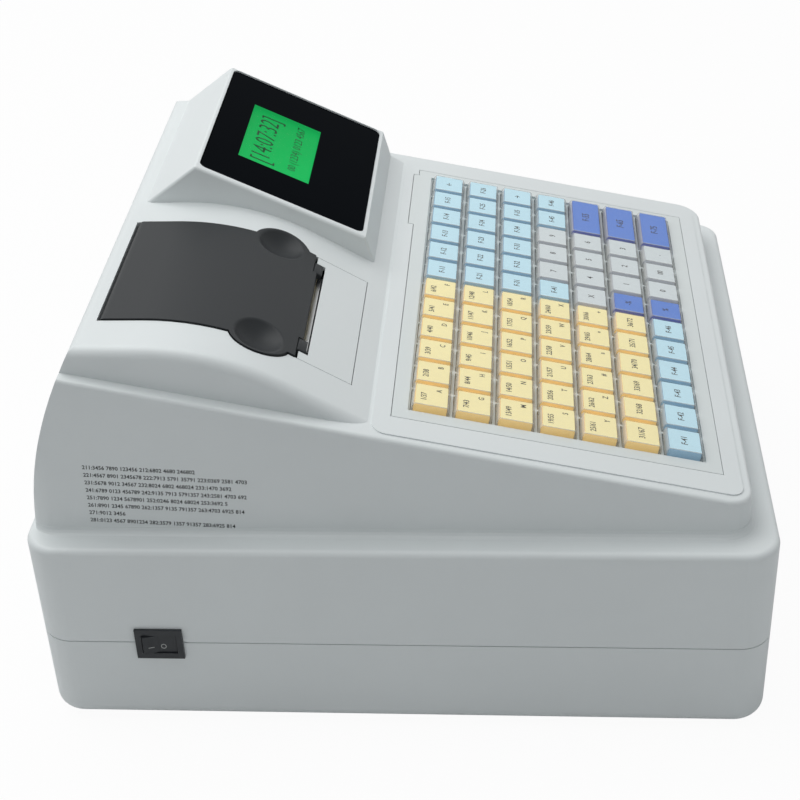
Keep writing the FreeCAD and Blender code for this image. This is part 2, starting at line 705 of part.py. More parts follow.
def make_base_pan():
    """The lower half of the housing with its ribs, bosses, vents and cut-outs."""
    body = case_block("PanBlock", S.foot_rise, S.seam_height)
    rounded_edges(body, "PanEdge", S.pan_edge, lambda edge: level(edge, 0))
    height = float(S.seam_height - S.foot_rise)
    hollow(body, "PanShell", height)
    parts = [body]
    tools = [drawer_opening("PanBay"), switch_opening("PanSwitch")]
    for side, word in ((-1, "Left"), (1, "Right")):
        inner, outer = tray_half - S.runner_inset - S.runner_width, tray_half - S.runner_inset
        near, far = (side * outer, side * inner) if side < 0 else (inner, outer)
        rib_y = (tray_front + S.case_corner, tray_back)
        parts.append(block("Runner" + word, (near, far), rib_y, (pan_floor, pan_floor + S.runner_rise)))
        inner, outer = tray_half + S.gap, tray_half + S.gap + S.guide_width
        near, far = (side * outer, side * inner) if side < 0 else (inner, outer)
        parts.append(block("Guide" + word, (near, far), rib_y, (pan_floor, pan_floor + S.guide_rise)))
    for index, (x, y) in enumerate(screw_places()):
        span = (pan_floor, S.seam_height)
        parts.append(rod("PanBoss%d" % index, S.boss_radius, "z", span, (x, y)))
        hole = S.screw_radius + S.case_wall / 10
        through = (S.foot_rise - S.overrun, S.seam_height + S.overrun)
        tools.append(rod("PanHole%d" % index, hole, "z", through, (x, y)))
        sink = (S.foot_rise - S.overrun, S.foot_rise + S.head_sink)
        tools.append(rod("PanSink%d" % index, S.head_radius + S.gap, "z", sink, (x, y)))
    vent_y = (half_depth - S.case_wall - S.overrun, half_depth + S.overrun)
    vent_z = (S.foot_rise + S.vent_low, S.foot_rise + S.vent_low + S.vent_rise)
    count = int(float(S.vent_count))
    for index in range(count):
        x = S.vent_centre + S.vent_spacing * (index - (count - 1) / 2)
        tools.append(block("Vent%d" % index, (x - S.vent_width / 2, x + S.vent_width / 2), vent_y, vent_z))
    inlet_x = -S.inlet_centre
    tools.append(block(
        "PanInlet",
        (inlet_x - S.inlet_body_width / 2 - S.gap, inlet_x + S.inlet_body_width / 2 + S.gap),
        vent_y,
        (S.inlet_height - S.inlet_body_rise / 2 - S.gap, S.inlet_height + S.inlet_body_rise / 2 + S.gap),
    ))
    parts += latch_ears()
    tools.append(rod(
        "LatchBore",
        S.latch_pin + S.latch_play,
        "x",
        (-S.coil_radius, S.coil_radius),
        (tray_back + S.latch_setback, S.latch_height),
    ))
    return node("base_pan", cut("BasePan", fuse("PanRibbed", parts), tools))


def latch_ears():
    """The two posts on the pan floor that carry the latch pin."""
    y = tray_back + S.latch_setback
    ears = []
    for side, word in ((-1, "Left"), (1, "Right")):
        inner, outer = S.latch_sheet / 2 + S.gap, S.latch_sheet / 2 + S.gap + S.latch_sheet
        near, far = (side * outer, side * inner) if side < 0 else (inner, outer)
        ears.append(block(
            "LatchEar" + word,
            (near, far),
            (y - S.latch_arm, y + S.latch_arm),
            (pan_floor, S.latch_height + S.latch_arm),
        ))
    return ears


def make_drawer_case():
    """The upper half of the housing: a shell with the rim, screw bosses and hold-down ribs."""
    body = case_block("CaseBlock", S.seam_height, S.rim_height)
    height = float(S.rim_height - S.seam_height)
    rounded_edges(body, "CaseRim", S.rim_edge, lambda edge: level(edge, height))
    hollow(body, "CaseShell", 0)
    parts = [body]
    tools = [drawer_opening("CaseBay"), switch_opening("CaseSwitch")]
    for side, word in ((-1, "Left"), (1, "Right")):
        inner, outer = tray_half - S.runner_width, tray_half
        near, far = (side * outer, side * inner) if side < 0 else (inner, outer)
        parts.append(block(
            "HoldDown" + word,
            (near, far),
            (tray_front + S.case_corner, tray_front + S.case_corner + S.holddown_length),
            (tray_high + S.gap, roof_under),
        ))
    for index, (x, y) in enumerate(screw_places()):
        parts.append(rod("CaseBoss%d" % index, S.boss_radius, "z", (S.seam_height, roof_under), (x, y)))
        pilot = (S.seam_height - S.overrun, S.foot_rise + S.head_sink + S.screw_grip + S.overrun)
        tools.append(rod("CasePilot%d" % index, S.screw_radius + S.screw_play, "z", pilot, (x, y)))
    cam_front = tray_front + S.lock_length
    parts.append(block("LockCatch", (-S.lock_cam_width * 1.5, S.lock_cam_width * 1.5),
                       (cam_front - S.overrun - S.case_wall, cam_front - S.overrun),
                       (bay_high, roof_under)))
    for index, (x, y, top) in enumerate(printer_posts()):
        parts.append(rod("Post%d" % index, S.post_radius, "z", (S.rim_height - S.overrun, top), (x, y)))
    for index, (x, y) in enumerate(board_posts()):
        span = (S.rim_height - S.overrun, S.rim_height + S.board_lift)
        parts.append(rod("BoardPost%d" % index, S.post_radius, "z", span, (x, y)))
    wiring = (-S.board_lift * 4, S.board_lift * 4)
    tools.append(block("Wiring", wiring, (hump_crown, hump_crown + S.board_lift * 3),
                       (roof_under - S.overrun, S.rim_height + S.overrun)))
    tools.append(block(
        "PortHole",
        (S.port_centre - S.port_shell_width / 2 - S.gap, S.port_centre + S.port_shell_width / 2 + S.gap),
        (half_depth - S.case_wall - S.overrun, half_depth + S.overrun),
        (port_height - S.port_shell_rise / 2 - S.gap, port_height + S.port_shell_rise / 2 + S.gap),
    ))
    outer = block(
        "RevealOuter",
        (-half_width - S.overrun, half_width + S.overrun),
        (-half_depth - S.overrun, half_depth + S.overrun),
        (S.seam_height - S.overrun, S.seam_height + S.seam_reveal),
    )
    inset = S.seam_reveal
    core = pad("RevealCore", "XY_Plane", [
        (-half_width + inset, -half_depth + inset),
        (half_width - inset, -half_depth + inset),
        (half_width - inset, half_depth - inset),
        (-half_width + inset, half_depth - inset),
    ], S.seam_height - S.overrun, S.seam_height + S.seam_reveal)
    rounded_edges(core, "RevealCorners", S.case_corner - inset, upright)
    tools.append(cut("Reveal", outer, [core]))
    return node("drawer_case", cut("DrawerCase", fuse("CaseRibbed", parts), tools))


def printer_posts():
    """Posts on the drawer case that carry the printer frame and the paper bucket."""
    side = S.frame_width / 2 - S.post_radius
    bucket_low = roll_height - S.roll_radius - S.bucket_gap - S.bucket_wall
    posts = []
    for sign in (-1, 1):
        x = S.printer_centre + sign * side
        posts.append((x, (frame_front + frame_back) / 2, frame_low))
        posts.append((S.printer_centre + sign * side / 2, roll_back, bucket_low))
    return posts


def board_posts():
    """Posts on the drawer case that carry the main board."""
    margin = S.post_radius + S.gap
    return [
        (x, y)
        for x in (S.board_left + margin, S.board_left + S.board_width - margin)
        for y in (board_front + margin, board_front + S.board_length - margin)
    ]


def make_feet():
    """Four rubber feet, slightly narrower at the ground."""
    feet = []
    for sx in (-1, 1):
        for sy in (-1, 1):
            points = [
                (0, 0),
                (S.foot_radius - S.foot_rise / 3, 0),
                (S.foot_radius, S.foot_rise),
                (0, S.foot_rise),
            ]
            foot = turned("Foot", points)
            place(foot, sx * (half_width - S.foot_inset), sy * (half_depth - S.foot_inset))
            feet.append(foot)
    return node("feet", compound("Feet", feet))


def make_case_screws():
    """Six pan-head screws that hold the lower case together."""
    screws = []
    for x, y in screw_places():
        points = [
            (0, 0),
            (S.head_radius * 0.7, 0),
            (S.head_radius, S.head_rise / 2),
            (S.head_radius, S.head_rise),
            (S.screw_radius, S.head_rise),
            (S.screw_radius, S.head_rise + S.screw_grip - S.screw_radius),
            (0, S.head_rise + S.screw_grip),
        ]
        screw = turned("Screw", points)
        place(screw, x, y, S.foot_rise + S.head_sink - S.head_rise)
        screws.append(screw)
    return node("case_screws", compound("CaseScrews", screws))


# Drawer

def make_drawer_tray():
    """The sheet-steel tray: floor, four walls, a slot for the latch."""
    outer = block("TrayOuter", (-tray_half, tray_half), (tray_front, tray_back), (tray_low, tray_high))
    inner = block(
        "TrayInner",
        (-tray_half + S.tray_sheet, tray_half - S.tray_sheet),
        (tray_front + S.tray_sheet, tray_back - S.tray_sheet),
        (tray_low + S.tray_sheet, tray_high + S.overrun),
    )
    slot = block(
        "TraySlot",
        (-S.latch_slot_width / 2, S.latch_slot_width / 2),
        (tray_back - S.tray_sheet - S.overrun, tray_back + S.overrun),
        (S.latch_slot_low, S.latch_slot_low + S.latch_slot_rise),
    )
    return node("drawer_tray", cut("DrawerTray", outer, [inner, slot]))


lock_z = bay_high - S.lock_drop


def make_drawer_front():
    """The panel that closes the drawer opening, with a stiffening frame behind it."""
    half = bay_half - S.front_gap
    low, high = bay_low + S.front_gap, bay_high - S.front_gap
    panel = pad("FrontPanel", "XZ_Plane", [(-half, low), (half, low), (half, high), (-half, high)],
                front_face, tray_front)
    rounded_edges(panel, "FrontEdges", S.front_edge,
                  lambda edge: abs(edge.BoundBox.YMin + float(S.front_thick)) < float(S.touch)
                  and abs(edge.BoundBox.YMax + float(S.front_thick)) < float(S.touch))
    boss = rod("LockBoss", S.lock_radius + S.front_thick, "y",
               (tray_front - S.overrun, tray_front + S.lock_length / 2), (Length(0.0, "0"), lock_z))
    rib = block("FrontRib", (-half, half), (tray_front, tray_front + S.front_thick),
                (tray_high + S.gap, tray_high + S.gap + S.front_thick))
    bore = rod("LockBore", S.lock_radius + S.lock_play, "y",
               (front_face - S.overrun, tray_front + S.lock_length), (Length(0.0, "0"), lock_z))
    return node("drawer_front", cut("DrawerFront", fuse("FrontBody", [panel, boss, rib]), [bore]))


def make_lock_barrel():
    """The lock's turning plug with its keyhole and the cam that catches behind the opening's head."""
    face = front_face - S.lock_proud
    zero = Length(0.0, "0")
    back = tray_front + S.lock_length
    plug = rod("LockPlug", S.lock_radius, "y", (face, back), (zero, lock_z))
    cam = block("LockCam", (-S.lock_cam_width / 2, S.lock_cam_length), (back, back + S.lock_cam_sheet),
                (lock_z - S.lock_cam_width / 2, lock_z + S.lock_cam_width / 2))
    keyhole = block("Keyhole", (-S.keyhole_width / 2, S.keyhole_width / 2),
                    (face - S.overrun, face + S.keyhole_depth),
                    (lock_z - S.keyhole_length / 2, lock_z + S.keyhole_length / 2))
    return node("lock_barrel", cut("LockBarrel", fuse("LockBody", [plug, cam]), [keyhole]))


insert_half = tray_half - S.tray_sheet - S.insert_gap
insert_front = tray_front + S.tray_sheet + S.media_depth
insert_back = tray_back - S.tray_sheet - S.insert_back_gap
insert_low = tray_low + S.tray_sheet
insert_high = insert_low + S.insert_rise
note_front = insert_front + S.coin_depth
clip_z = insert_high - S.clip_barrel
clip_y = insert_back - S.insert_wall - S.clip_barrel - S.gap


def cells(count):
    """The left and right edges of a row of equal compartments across the insert."""
    number = int(float(count))
    room = (insert_half * 2 - S.insert_wall * (number + 1)) / number
    return [
        (-insert_half + S.insert_wall + (room + S.insert_wall) * index,
         -insert_half + (room + S.insert_wall) * (index + 1))
        for index in range(number)
    ]


def make_cash_insert():
    """The moulded money tray: a well for the coin cups in front, note bays behind, ears for the clips."""
    outer = solid_box((-insert_half, insert_half), (insert_front, insert_back), (insert_low, insert_high))
    floor = insert_low + S.insert_wall
    top = insert_high + S.overrun
    well = solid_box((-insert_half + S.insert_wall, insert_half - S.insert_wall),
                     (insert_front + S.insert_wall, note_front), (floor, top))
    shape = outer.cut(well)
    for low, high in cells(S.note_bays):
        bay = solid_box((low, high), (note_front + S.insert_wall, insert_back - S.insert_wall), (floor, top))
        shape = shape.cut(bay)
    for x in clip_places():
        inner = S.clip_barrel_length / 2 + S.gap
        for side in (-1, 1):
            near, far = sorted((float(x + side * inner), float(x + side * (inner + S.ear_width))))
            ear = solid_box((near, far), (clip_y - S.clip_barrel, insert_back - S.insert_wall / 2),
                            (insert_high - S.ear_rise, insert_high))
            bore = Part.makeCylinder(float(S.clip_pin + S.clip_play), far - near + 2 * float(S.overrun),
                                     vec(near - float(S.overrun), clip_y, clip_z), vec(1, 0, 0))
            shape = shape.fuse(ear).cut(bore)
    return node("cash_insert", feature("CashInsert", shape.removeSplitter()))


def cup_places():
    """The left and right edges of the coin cups, side by side in the well."""
    number = int(float(S.coin_cups))
    room = (insert_half * 2 - S.insert_wall * 2 - S.cup_gap * (number + 1)) / number
    start = S.insert_wall + S.cup_gap - insert_half
    return [(start + (room + S.cup_gap) * index, start + (room + S.cup_gap) * index + room)
            for index in range(number)]


def make_coin_cups():
    """Five loose cups with scooped floors that stand in the money tray's well."""
    front, back = insert_front + S.insert_wall + S.cup_gap, note_front - S.cup_gap
    foot = insert_low + S.insert_wall
    wall = S.cup_wall
    scoop = float(S.coin_scoop)
    cups = []
    for low, high in cup_places():
        outer = solid_box((low, high), (front, back), (foot, insert_high))
        room = solid_box((low + wall, high - wall), (front + wall, back - wall),
                         (foot + wall, insert_high + S.overrun))
        edges = [edge for edge in room.Edges if level(edge, float(foot + wall))
                 and abs(edge.BoundBox.YMax - edge.BoundBox.YMin) < float(S.touch)]
        cups.append(outer.cut(room.makeFillet(scoop, edges)))
    return node("coin_cups", feature("CoinCups", Part.makeCompound(cups)))


def clip_places():
    """The middle of each note bay."""
    return [(low + high) / 2 for low, high in cells(S.note_bays)]


def make_bill_clips():
    """Four sprung arms that hold the notes down, each on its own pin."""
    for index, x in enumerate(clip_places()):
        zero = Length(0.0, "0")
        barrel = rod("ClipBarrel", S.clip_barrel, "x",
                     (-S.clip_barrel_length / 2, S.clip_barrel_length / 2), (zero, zero))
        reach = S.clip_barrel_length / 2 + S.gap + S.ear_width
        pin = rod("ClipPin", S.clip_pin, "x", (-reach, reach), (zero, zero))
        arm = block("ClipArm", (-S.clip_width / 2, S.clip_width / 2), (-S.clip_length, zero),
                    (-S.clip_sheet / 2, S.clip_sheet / 2))
        shoe = block("ClipShoe", (-S.clip_width, S.clip_width),
                     (-S.clip_length, -S.clip_length + S.shoe_length),
                     (-S.clip_sheet / 2 - S.shoe_rise, S.clip_sheet / 2))
        clip = fuse("Clip%d" % (index + 1), [barrel, pin, arm, shoe])
        clip.Placement.Rotation = FreeCAD.Rotation(FreeCAD.Vector(1, 0, 0), float(S.clip_slope))
        place(clip, x, clip_y, clip_z)
        node("bill_clip_%d" % (index + 1), clip)


# Drawer latch

def make_latch():
    """The hook that holds the drawer shut, on its pin, and the solenoid that lifts it."""
    y, z = tray_back + S.latch_setback, S.latch_height
    tip_back = tray_back - S.tray_sheet - S.latch_reach + S.gap
    low, high = z - S.latch_arm / 2, z + S.latch_arm / 2
    coil_y = y + S.latch_arm + S.coil_radius + S.gap
    hook = pad("HookPlate", "YZ_Plane", [
        (tip_back - S.latch_tip, low - S.latch_tip_drop),
        (tip_back, low - S.latch_tip_drop),
        (tip_back, low),
        (coil_y + S.coil_radius, low),
        (coil_y + S.coil_radius, high),
        (tip_back - S.latch_tip / 2, high),
        (tip_back - S.latch_tip, high - S.latch_tip / 2),
    ], -S.latch_sheet / 2, S.latch_sheet / 2)
    reach = S.latch_sheet / 2 + S.gap + S.latch_sheet + S.gap
    pin = rod("HookPin", S.latch_pin, "x", (-reach, reach), (y, z))
    node("latch_hook", fuse("LatchHook", [hook, pin]))
    pole_top = low - S.gap
    zero = Length(0.0, "0")
    yoke = block("CoilYoke", (-S.coil_radius, S.coil_radius),
                 (coil_y - S.coil_radius / 2, coil_y + S.coil_radius), (pan_floor, pan_floor + S.case_wall))
    coil = rod("Coil", S.coil_radius, "z", (pan_floor + S.case_wall, pole_top - S.case_wall), (zero, coil_y))
    pole = rod("CoilPole", S.coil_radius / 2, "z", (pole_top - S.case_wall, pole_top), (zero, coil_y))
    node("latch_solenoid", fuse("LatchSolenoid", [yoke, coil, pole]))


# Power side

def make_switch():
    """The rocker switch in the left wall: a bezel with a box behind it, and the rocker."""
    outside = -half_width - S.switch_proud
    y, z = switch_y, S.seam_height
    plate = block("BezelPlate", (outside, -half_width),
                  (y - S.switch_length / 2, y + S.switch_length / 2),
                  (z - S.switch_rise / 2, z + S.switch_rise / 2))
    box = block("BezelBox", (outside, -half_width + S.switch_depth),
                (y - S.switch_hole_length / 2 + S.gap, y + S.switch_hole_length / 2 - S.gap),
                (z - S.switch_hole_rise / 2 + S.gap, z + S.switch_hole_rise / 2 - S.gap))
    well_rise = S.switch_hole_rise - S.case_wall * 1.2
    well_length = S.rocker_radius * 2 + S.gap * 2
    well = block("BezelWell", (outside - S.overrun, -half_width + S.switch_depth - S.case_wall),
                 (y - well_length / 2, y + well_length / 2),
                 (z - well_rise / 2, z + well_rise / 2))
    node("rocker_bezel", cut("RockerBezel", fuse("BezelBody", [plate, box]), [well]))
    rise = well_rise - S.gap * 2
    lift = S.rocker_proud
    disc = rod("RockerDisc", S.rocker_radius, "z", (-rise / 2, rise / 2),
               (Length(0.0, "0"), Length(0.0, "0")))
    face = pad("RockerFace", "XY_Plane", [
        (-lift, -S.rocker_radius - S.overrun),
        (-lift / 3, 0),
        (-lift, S.rocker_radius + S.overrun),
        (S.rocker_radius * 0.7, S.rocker_radius + S.overrun),
        (S.rocker_radius * 0.7, -S.rocker_radius - S.overrun),
    ], -rise / 2, rise / 2)
    rocker = doc.addObject("Part::Common", "Rocker")
    rocker.Base = disc
    rocker.Tool = face
    rocker.Placement.Rotation = FreeCAD.Rotation(FreeCAD.Vector(0, 0, 1), float(S.rocker_tilt))
    place(rocker, outside + S.switch_proud, y, z)
    node("rocker", rocker)


def make_power_inlet():
    """The mains inlet in the rear wall: flange, body, plug recess and three blades."""
    x, z = -S.inlet_centre, S.inlet_height
    outside = half_depth + S.inlet_flange
    flange = block("InletFlange", (x - S.inlet_flange_width / 2, x + S.inlet_flange_width / 2),
                   (half_depth, outside), (z - S.inlet_flange_rise / 2, z + S.inlet_flange_rise / 2))
    body = block("InletBody", (x - S.inlet_body_width / 2, x + S.inlet_body_width / 2),
                 (half_depth - S.inlet_depth, outside),
                 (z - S.inlet_body_rise / 2, z + S.inlet_body_rise / 2))
    recess = block("InletRecess", (x - S.socket_width / 2, x + S.socket_width / 2),
                   (outside - S.socket_depth, outside + S.overrun),
                   (z - S.socket_rise / 2, z + S.socket_rise / 2))
    shell = cut("InletShell", fuse("InletSolid", [flange, body]), [recess])
    bottom = outside - S.socket_depth
    blades = [shell]
    for offset, lift in ((-1, -1), (0, 1), (1, -1)):
        cx, cz = x + S.blade_spacing * offset, z + S.blade_width / 2 * lift
        blades.append(block("Blade", (cx - S.blade_sheet / 2, cx + S.blade_sheet / 2),
                            (bottom - S.overrun, bottom + S.blade_length),
                            (cz - S.blade_width / 2, cz + S.blade_width / 2)))
    node("power_inlet", fuse("PowerInlet", blades))


def make_transformer():
    """The mains transformer on the pan floor: laminated core round a winding."""
    x0 = -S.inlet_centre + S.inlet_body_width
    x1 = x0 + S.core_width
    y1 = half_depth - S.case_wall - S.inlet_depth
    y0 = y1 - S.core_depth
    core = block("Core", (x0, x1), (y0, y1), (pan_floor, pan_floor + S.core_rise))
    inset = S.core_width / 6
    winding = block("Winding", (x0 + inset, x1 - inset), (y0 - S.coil_bulge, y1 + S.coil_bulge),
                    (pan_floor + inset / 2, pan_floor + S.core_rise - inset / 2))
    foot = S.case_wall
    bracket = block("CoreFoot", (x0 - inset, x1 + inset), (y0 + foot, y1 - foot), (pan_floor, pan_floor + foot))
    node("transformer", fuse("Transformer", [core, winding, bracket]))


def make_data_port():
    """The nine-way port in the rear wall: plate inside, shell through the wall, board behind."""
    x, z = S.port_centre, port_height
    inner = half_depth - S.case_wall
    plate = block("PortPlate", (x - S.port_width / 2, x + S.port_width / 2),
                  (inner - S.board_sheet, inner), (z - S.port_rise / 2, z + S.port_rise / 2))
    w, r = S.port_shell_width / 2, S.port_shell_rise / 2
    shell = pad("PortShell", "XZ_Plane", [
        (x - w, z + r), (x + w, z + r), (x + w - r / 2, z - r), (x - w + r / 2, z - r),
    ], inner - S.port_rise, half_depth)
    node("data_port", fuse("DataPort", [plate, shell]))


# Top case

top_half = half_width - S.top_inset_side
top_front = -half_depth + S.top_inset_front
top_back = half_depth - S.top_inset_back
far_up = hump_height + S.draft_height


def plan_solid(inset):
    """The top case's drafted plan, inside its outer face by an inset."""
    base = S.rim_height if inset == 0 else S.rim_height - S.overrun
    head = S.rim_height + S.draft_height
    rate = S.top_draft / S.draft_height
    wires = []
    for height in (base, head):
        lean = rate * (height - S.rim_height)
        wires.append(rounded_rectangle(
            top_half - lean - inset,
            top_front + lean / 2 + inset,
            top_back + S.case_wall - inset,
            S.top_corner - inset,
            height,
        ))
    return Part.makeLoft(wires, True)


def rear_curve():
    """Centre and radius of the curved back, in the (y, z) plane."""
    points = [(top_back, S.rim_height), (S.waist_back, S.waist_height), (S.shoulder_back, S.shoulder_height)]
    circle = Part.Arc(*[vec(y, z, 0) for y, z in points]).toShape().Curve
    return circle.Center, circle.Radius


def foot_flare():
    """The hollow rounding round the top case's foot, in short straight steps."""
    steps = int(float(S.flare_steps))
    wires = []
    for index in range(steps + 1):
        turn = math.pi / 2 * index / steps
        rise = S.foot_flare * (1 - math.cos(turn))
        grow = S.foot_flare * (1 - math.sin(turn))
        wires.append(rounded_rectangle(top_half + grow, top_front - grow, top_back + S.case_wall,
                                       S.top_corner + grow, S.rim_height + rise))
    return Part.makeLoft(wires, True, True).common(back_solid(0))


def back_solid(inset):
    """Everything ahead of the curved back."""
    centre, radius = rear_curve()
    drum = Part.makeCylinder(radius - float(inset), float(S.case_width), vec(-half_width, centre.x, centre.y),
                             vec(1, 0, 0))
    return drum


def deck_solid(inset):
    """Everything below the sloping deck."""
    reach = float(S.case_depth)
    slab = Part.makeBox(float(S.case_width), 2 * reach, reach,
                        vec(-half_width, -reach, -reach - float(S.plateau_rise) - float(inset)))
    slab.Placement = key_plane
    return slab


def hump_outline(inset):
    """The printer deck's side outline, inside its outer face by an inset."""
    angle = math.radians(float(S.hump_fall))
    radius = float(S.hump_radius - inset)
    top = float(hump_height - inset)
    crown = float(hump_crown)
    centre_z = float(hump_height - S.hump_radius)
    end = (crown - radius * math.sin(angle), centre_z + radius * math.cos(angle))
    middle = (crown - radius * math.sin(angle / 2), centre_z + radius * math.cos(angle / 2))
    run = end[0] - float(hump_foot)
    foot = (float(hump_foot), end[1] - run * math.tan(angle))
    back = float(top_back + S.case_wall)
    low = float(S.rim_height + S.board_lift)
    edges = [
        Part.LineSegment(vec(0, back, low), vec(0, back, top)),
        Part.LineSegment(vec(0, back, top), vec(0, crown, top)),
        Part.Arc(vec(0, crown, top), vec(0, *middle), vec(0, *end)),
        Part.LineSegment(vec(0, *end), vec(0, *foot)),
        Part.LineSegment(vec(0, *foot), vec(0, foot[0], low)),
        Part.LineSegment(vec(0, foot[0], low), vec(0, back, low)),
    ]
    return Part.Wire([edge.toShape() for edge in edges])


def hump_prism(inset, low, high):
    """The printer deck's outline drawn out between two places along X."""
    face = Part.Face(hump_outline(inset))
    solid = face.extrude(vec(high - low, 0, 0))
    solid.translate(vec(low, 0, 0))
    return solid


def hump_solid(inset):
    """The printer deck, trimmed by the curved back, its top edges rounded where it is the outer face."""
    half = top_half - S.top_draft * 0.8 - S.hump_inset - inset
    solid = hump_prism(inset, -half, half).common(back_solid(inset)).common(plan_solid(inset))
    if inset != 0:
        return solid
    side = float(half)
    low = float(S.rim_height + S.board_lift) + float(S.touch)
    edges = [
        edge for edge in solid.Edges
        if abs(abs(edge.BoundBox.Center.x) - side) < float(S.touch) and edge.BoundBox.ZMin > low
        and edge.BoundBox.XLength < float(S.touch)
    ]
    crest = [
        edge for edge in solid.Edges
        if edge.BoundBox.XLength > side and abs(edge.BoundBox.ZMax - float(hump_height)) < float(S.touch)
        and edge.BoundBox.YMin > float(hump_crown) + float(S.overrun)
    ]
    return solid.makeFillet(float(S.hump_edge), edges + crest)


def glass_point(along, out):
    """A (y, z) point at a distance up the display pane's slope and out of its face."""
    point = glass_plane.multVec(vec(0, along, out))
    return (point.y, point.z)


def hood_solid(inset):
    """The display hood: a sloping face for the pane, a rear face and upright sides."""
    half = S.glass_length / 2 + S.glass_rim
    out = S.glass_sink
    top = glass_point(half, out)
    front = glass_point(-half, out)
    low = float(S.rim_height + S.board_lift)
    corners = [
        (float(hood_front), low),
        (float(hood_front), front[1] - float(S.hood_brow)),
        front,
        top,
        (float(hood_back), float(hood_back_height)),
        (float(hood_back), low),
    ]
    wire = Part.makePolygon([vec(0, y, z) for y, z in corners + corners[:1]])
    if inset != 0:
        wire = wire.makeOffset2D(-float(inset), join=2)
    solid = Part.Face(wire).extrude(vec(S.hood_right - S.hood_left - inset * 2, 0, 0))
    solid.translate(vec(S.hood_left + inset, 0, 0))
    if inset != 0:
        return solid
    edges = [
        edge for edge in solid.Edges
        if edge.BoundBox.ZMin > float(hood_back_height) - float(S.touch) or
        edge.BoundBox.YMax < top[0] + float(S.touch) and edge.BoundBox.ZLength > float(S.touch)
    ]
    return solid.makeFillet(float(S.hood_edge), edges)


def sloped_box(plane, x, along, out):
    """A box whose sides follow a sloping plane."""
    box = solid_box(x, along, out)
    box.Placement = plane.multiply(box.Placement)
    return box


def sloped_slab(plane, centre_x, width, length, radius, low, high, shift=0):
    """A slab with round corners, level with a sloping plane."""
    wire = rounded_rectangle(width / 2, -length / 2 + shift, length / 2 + shift, radius, low)
    slab = Part.Face(wire).extrude(vec(0, 0, high - low))
    slab.translate(vec(centre_x, 0, 0))
    slab.Placement = plane.multiply(slab.Placement)
    return slab


glass_centre_x = S.glass_left + S.glass_width / 2
deck_thick = S.plateau_rise + S.top_wall


def printer_outline(grow, front):
    """The cover's outline seen from above, made larger by a gap: a rectangle and two finger wings."""
    low, high = printer_low - grow, printer_high + grow
    back = cover_axis + S.cover_barrel + grow
    bottom, top = S.rim_height + S.board_lift * 4, far_up
    shape = solid_box((low, high), (front, back), (bottom, top))
    for x in (printer_low + S.wing_inset, printer_high - S.wing_inset):
        wing = Part.makeCylinder(float(S.wing_radius + grow), float(top - bottom), vec(x, wing_centre, bottom))
        shape = shape.fuse(wing)
    return shape.removeSplitter()


def frame_cutout(grow, low, high):
    """The keyboard frame's outline with its rear jog, made larger by a gap, between two levels."""
    half, back = S.plate_width / 2 + grow, S.plate_length / 2 + grow
    step = back + S.jog_depth
    left, right = S.jog_left - grow, S.jog_right + grow
    points = [(-half, -back), (half, -back), (half, back), (right, back), (right, step),
              (left, step), (left, back), (-half, back)]
    slab = prism_z(points, low, high)
    slab.Placement = key_plane
    return slab


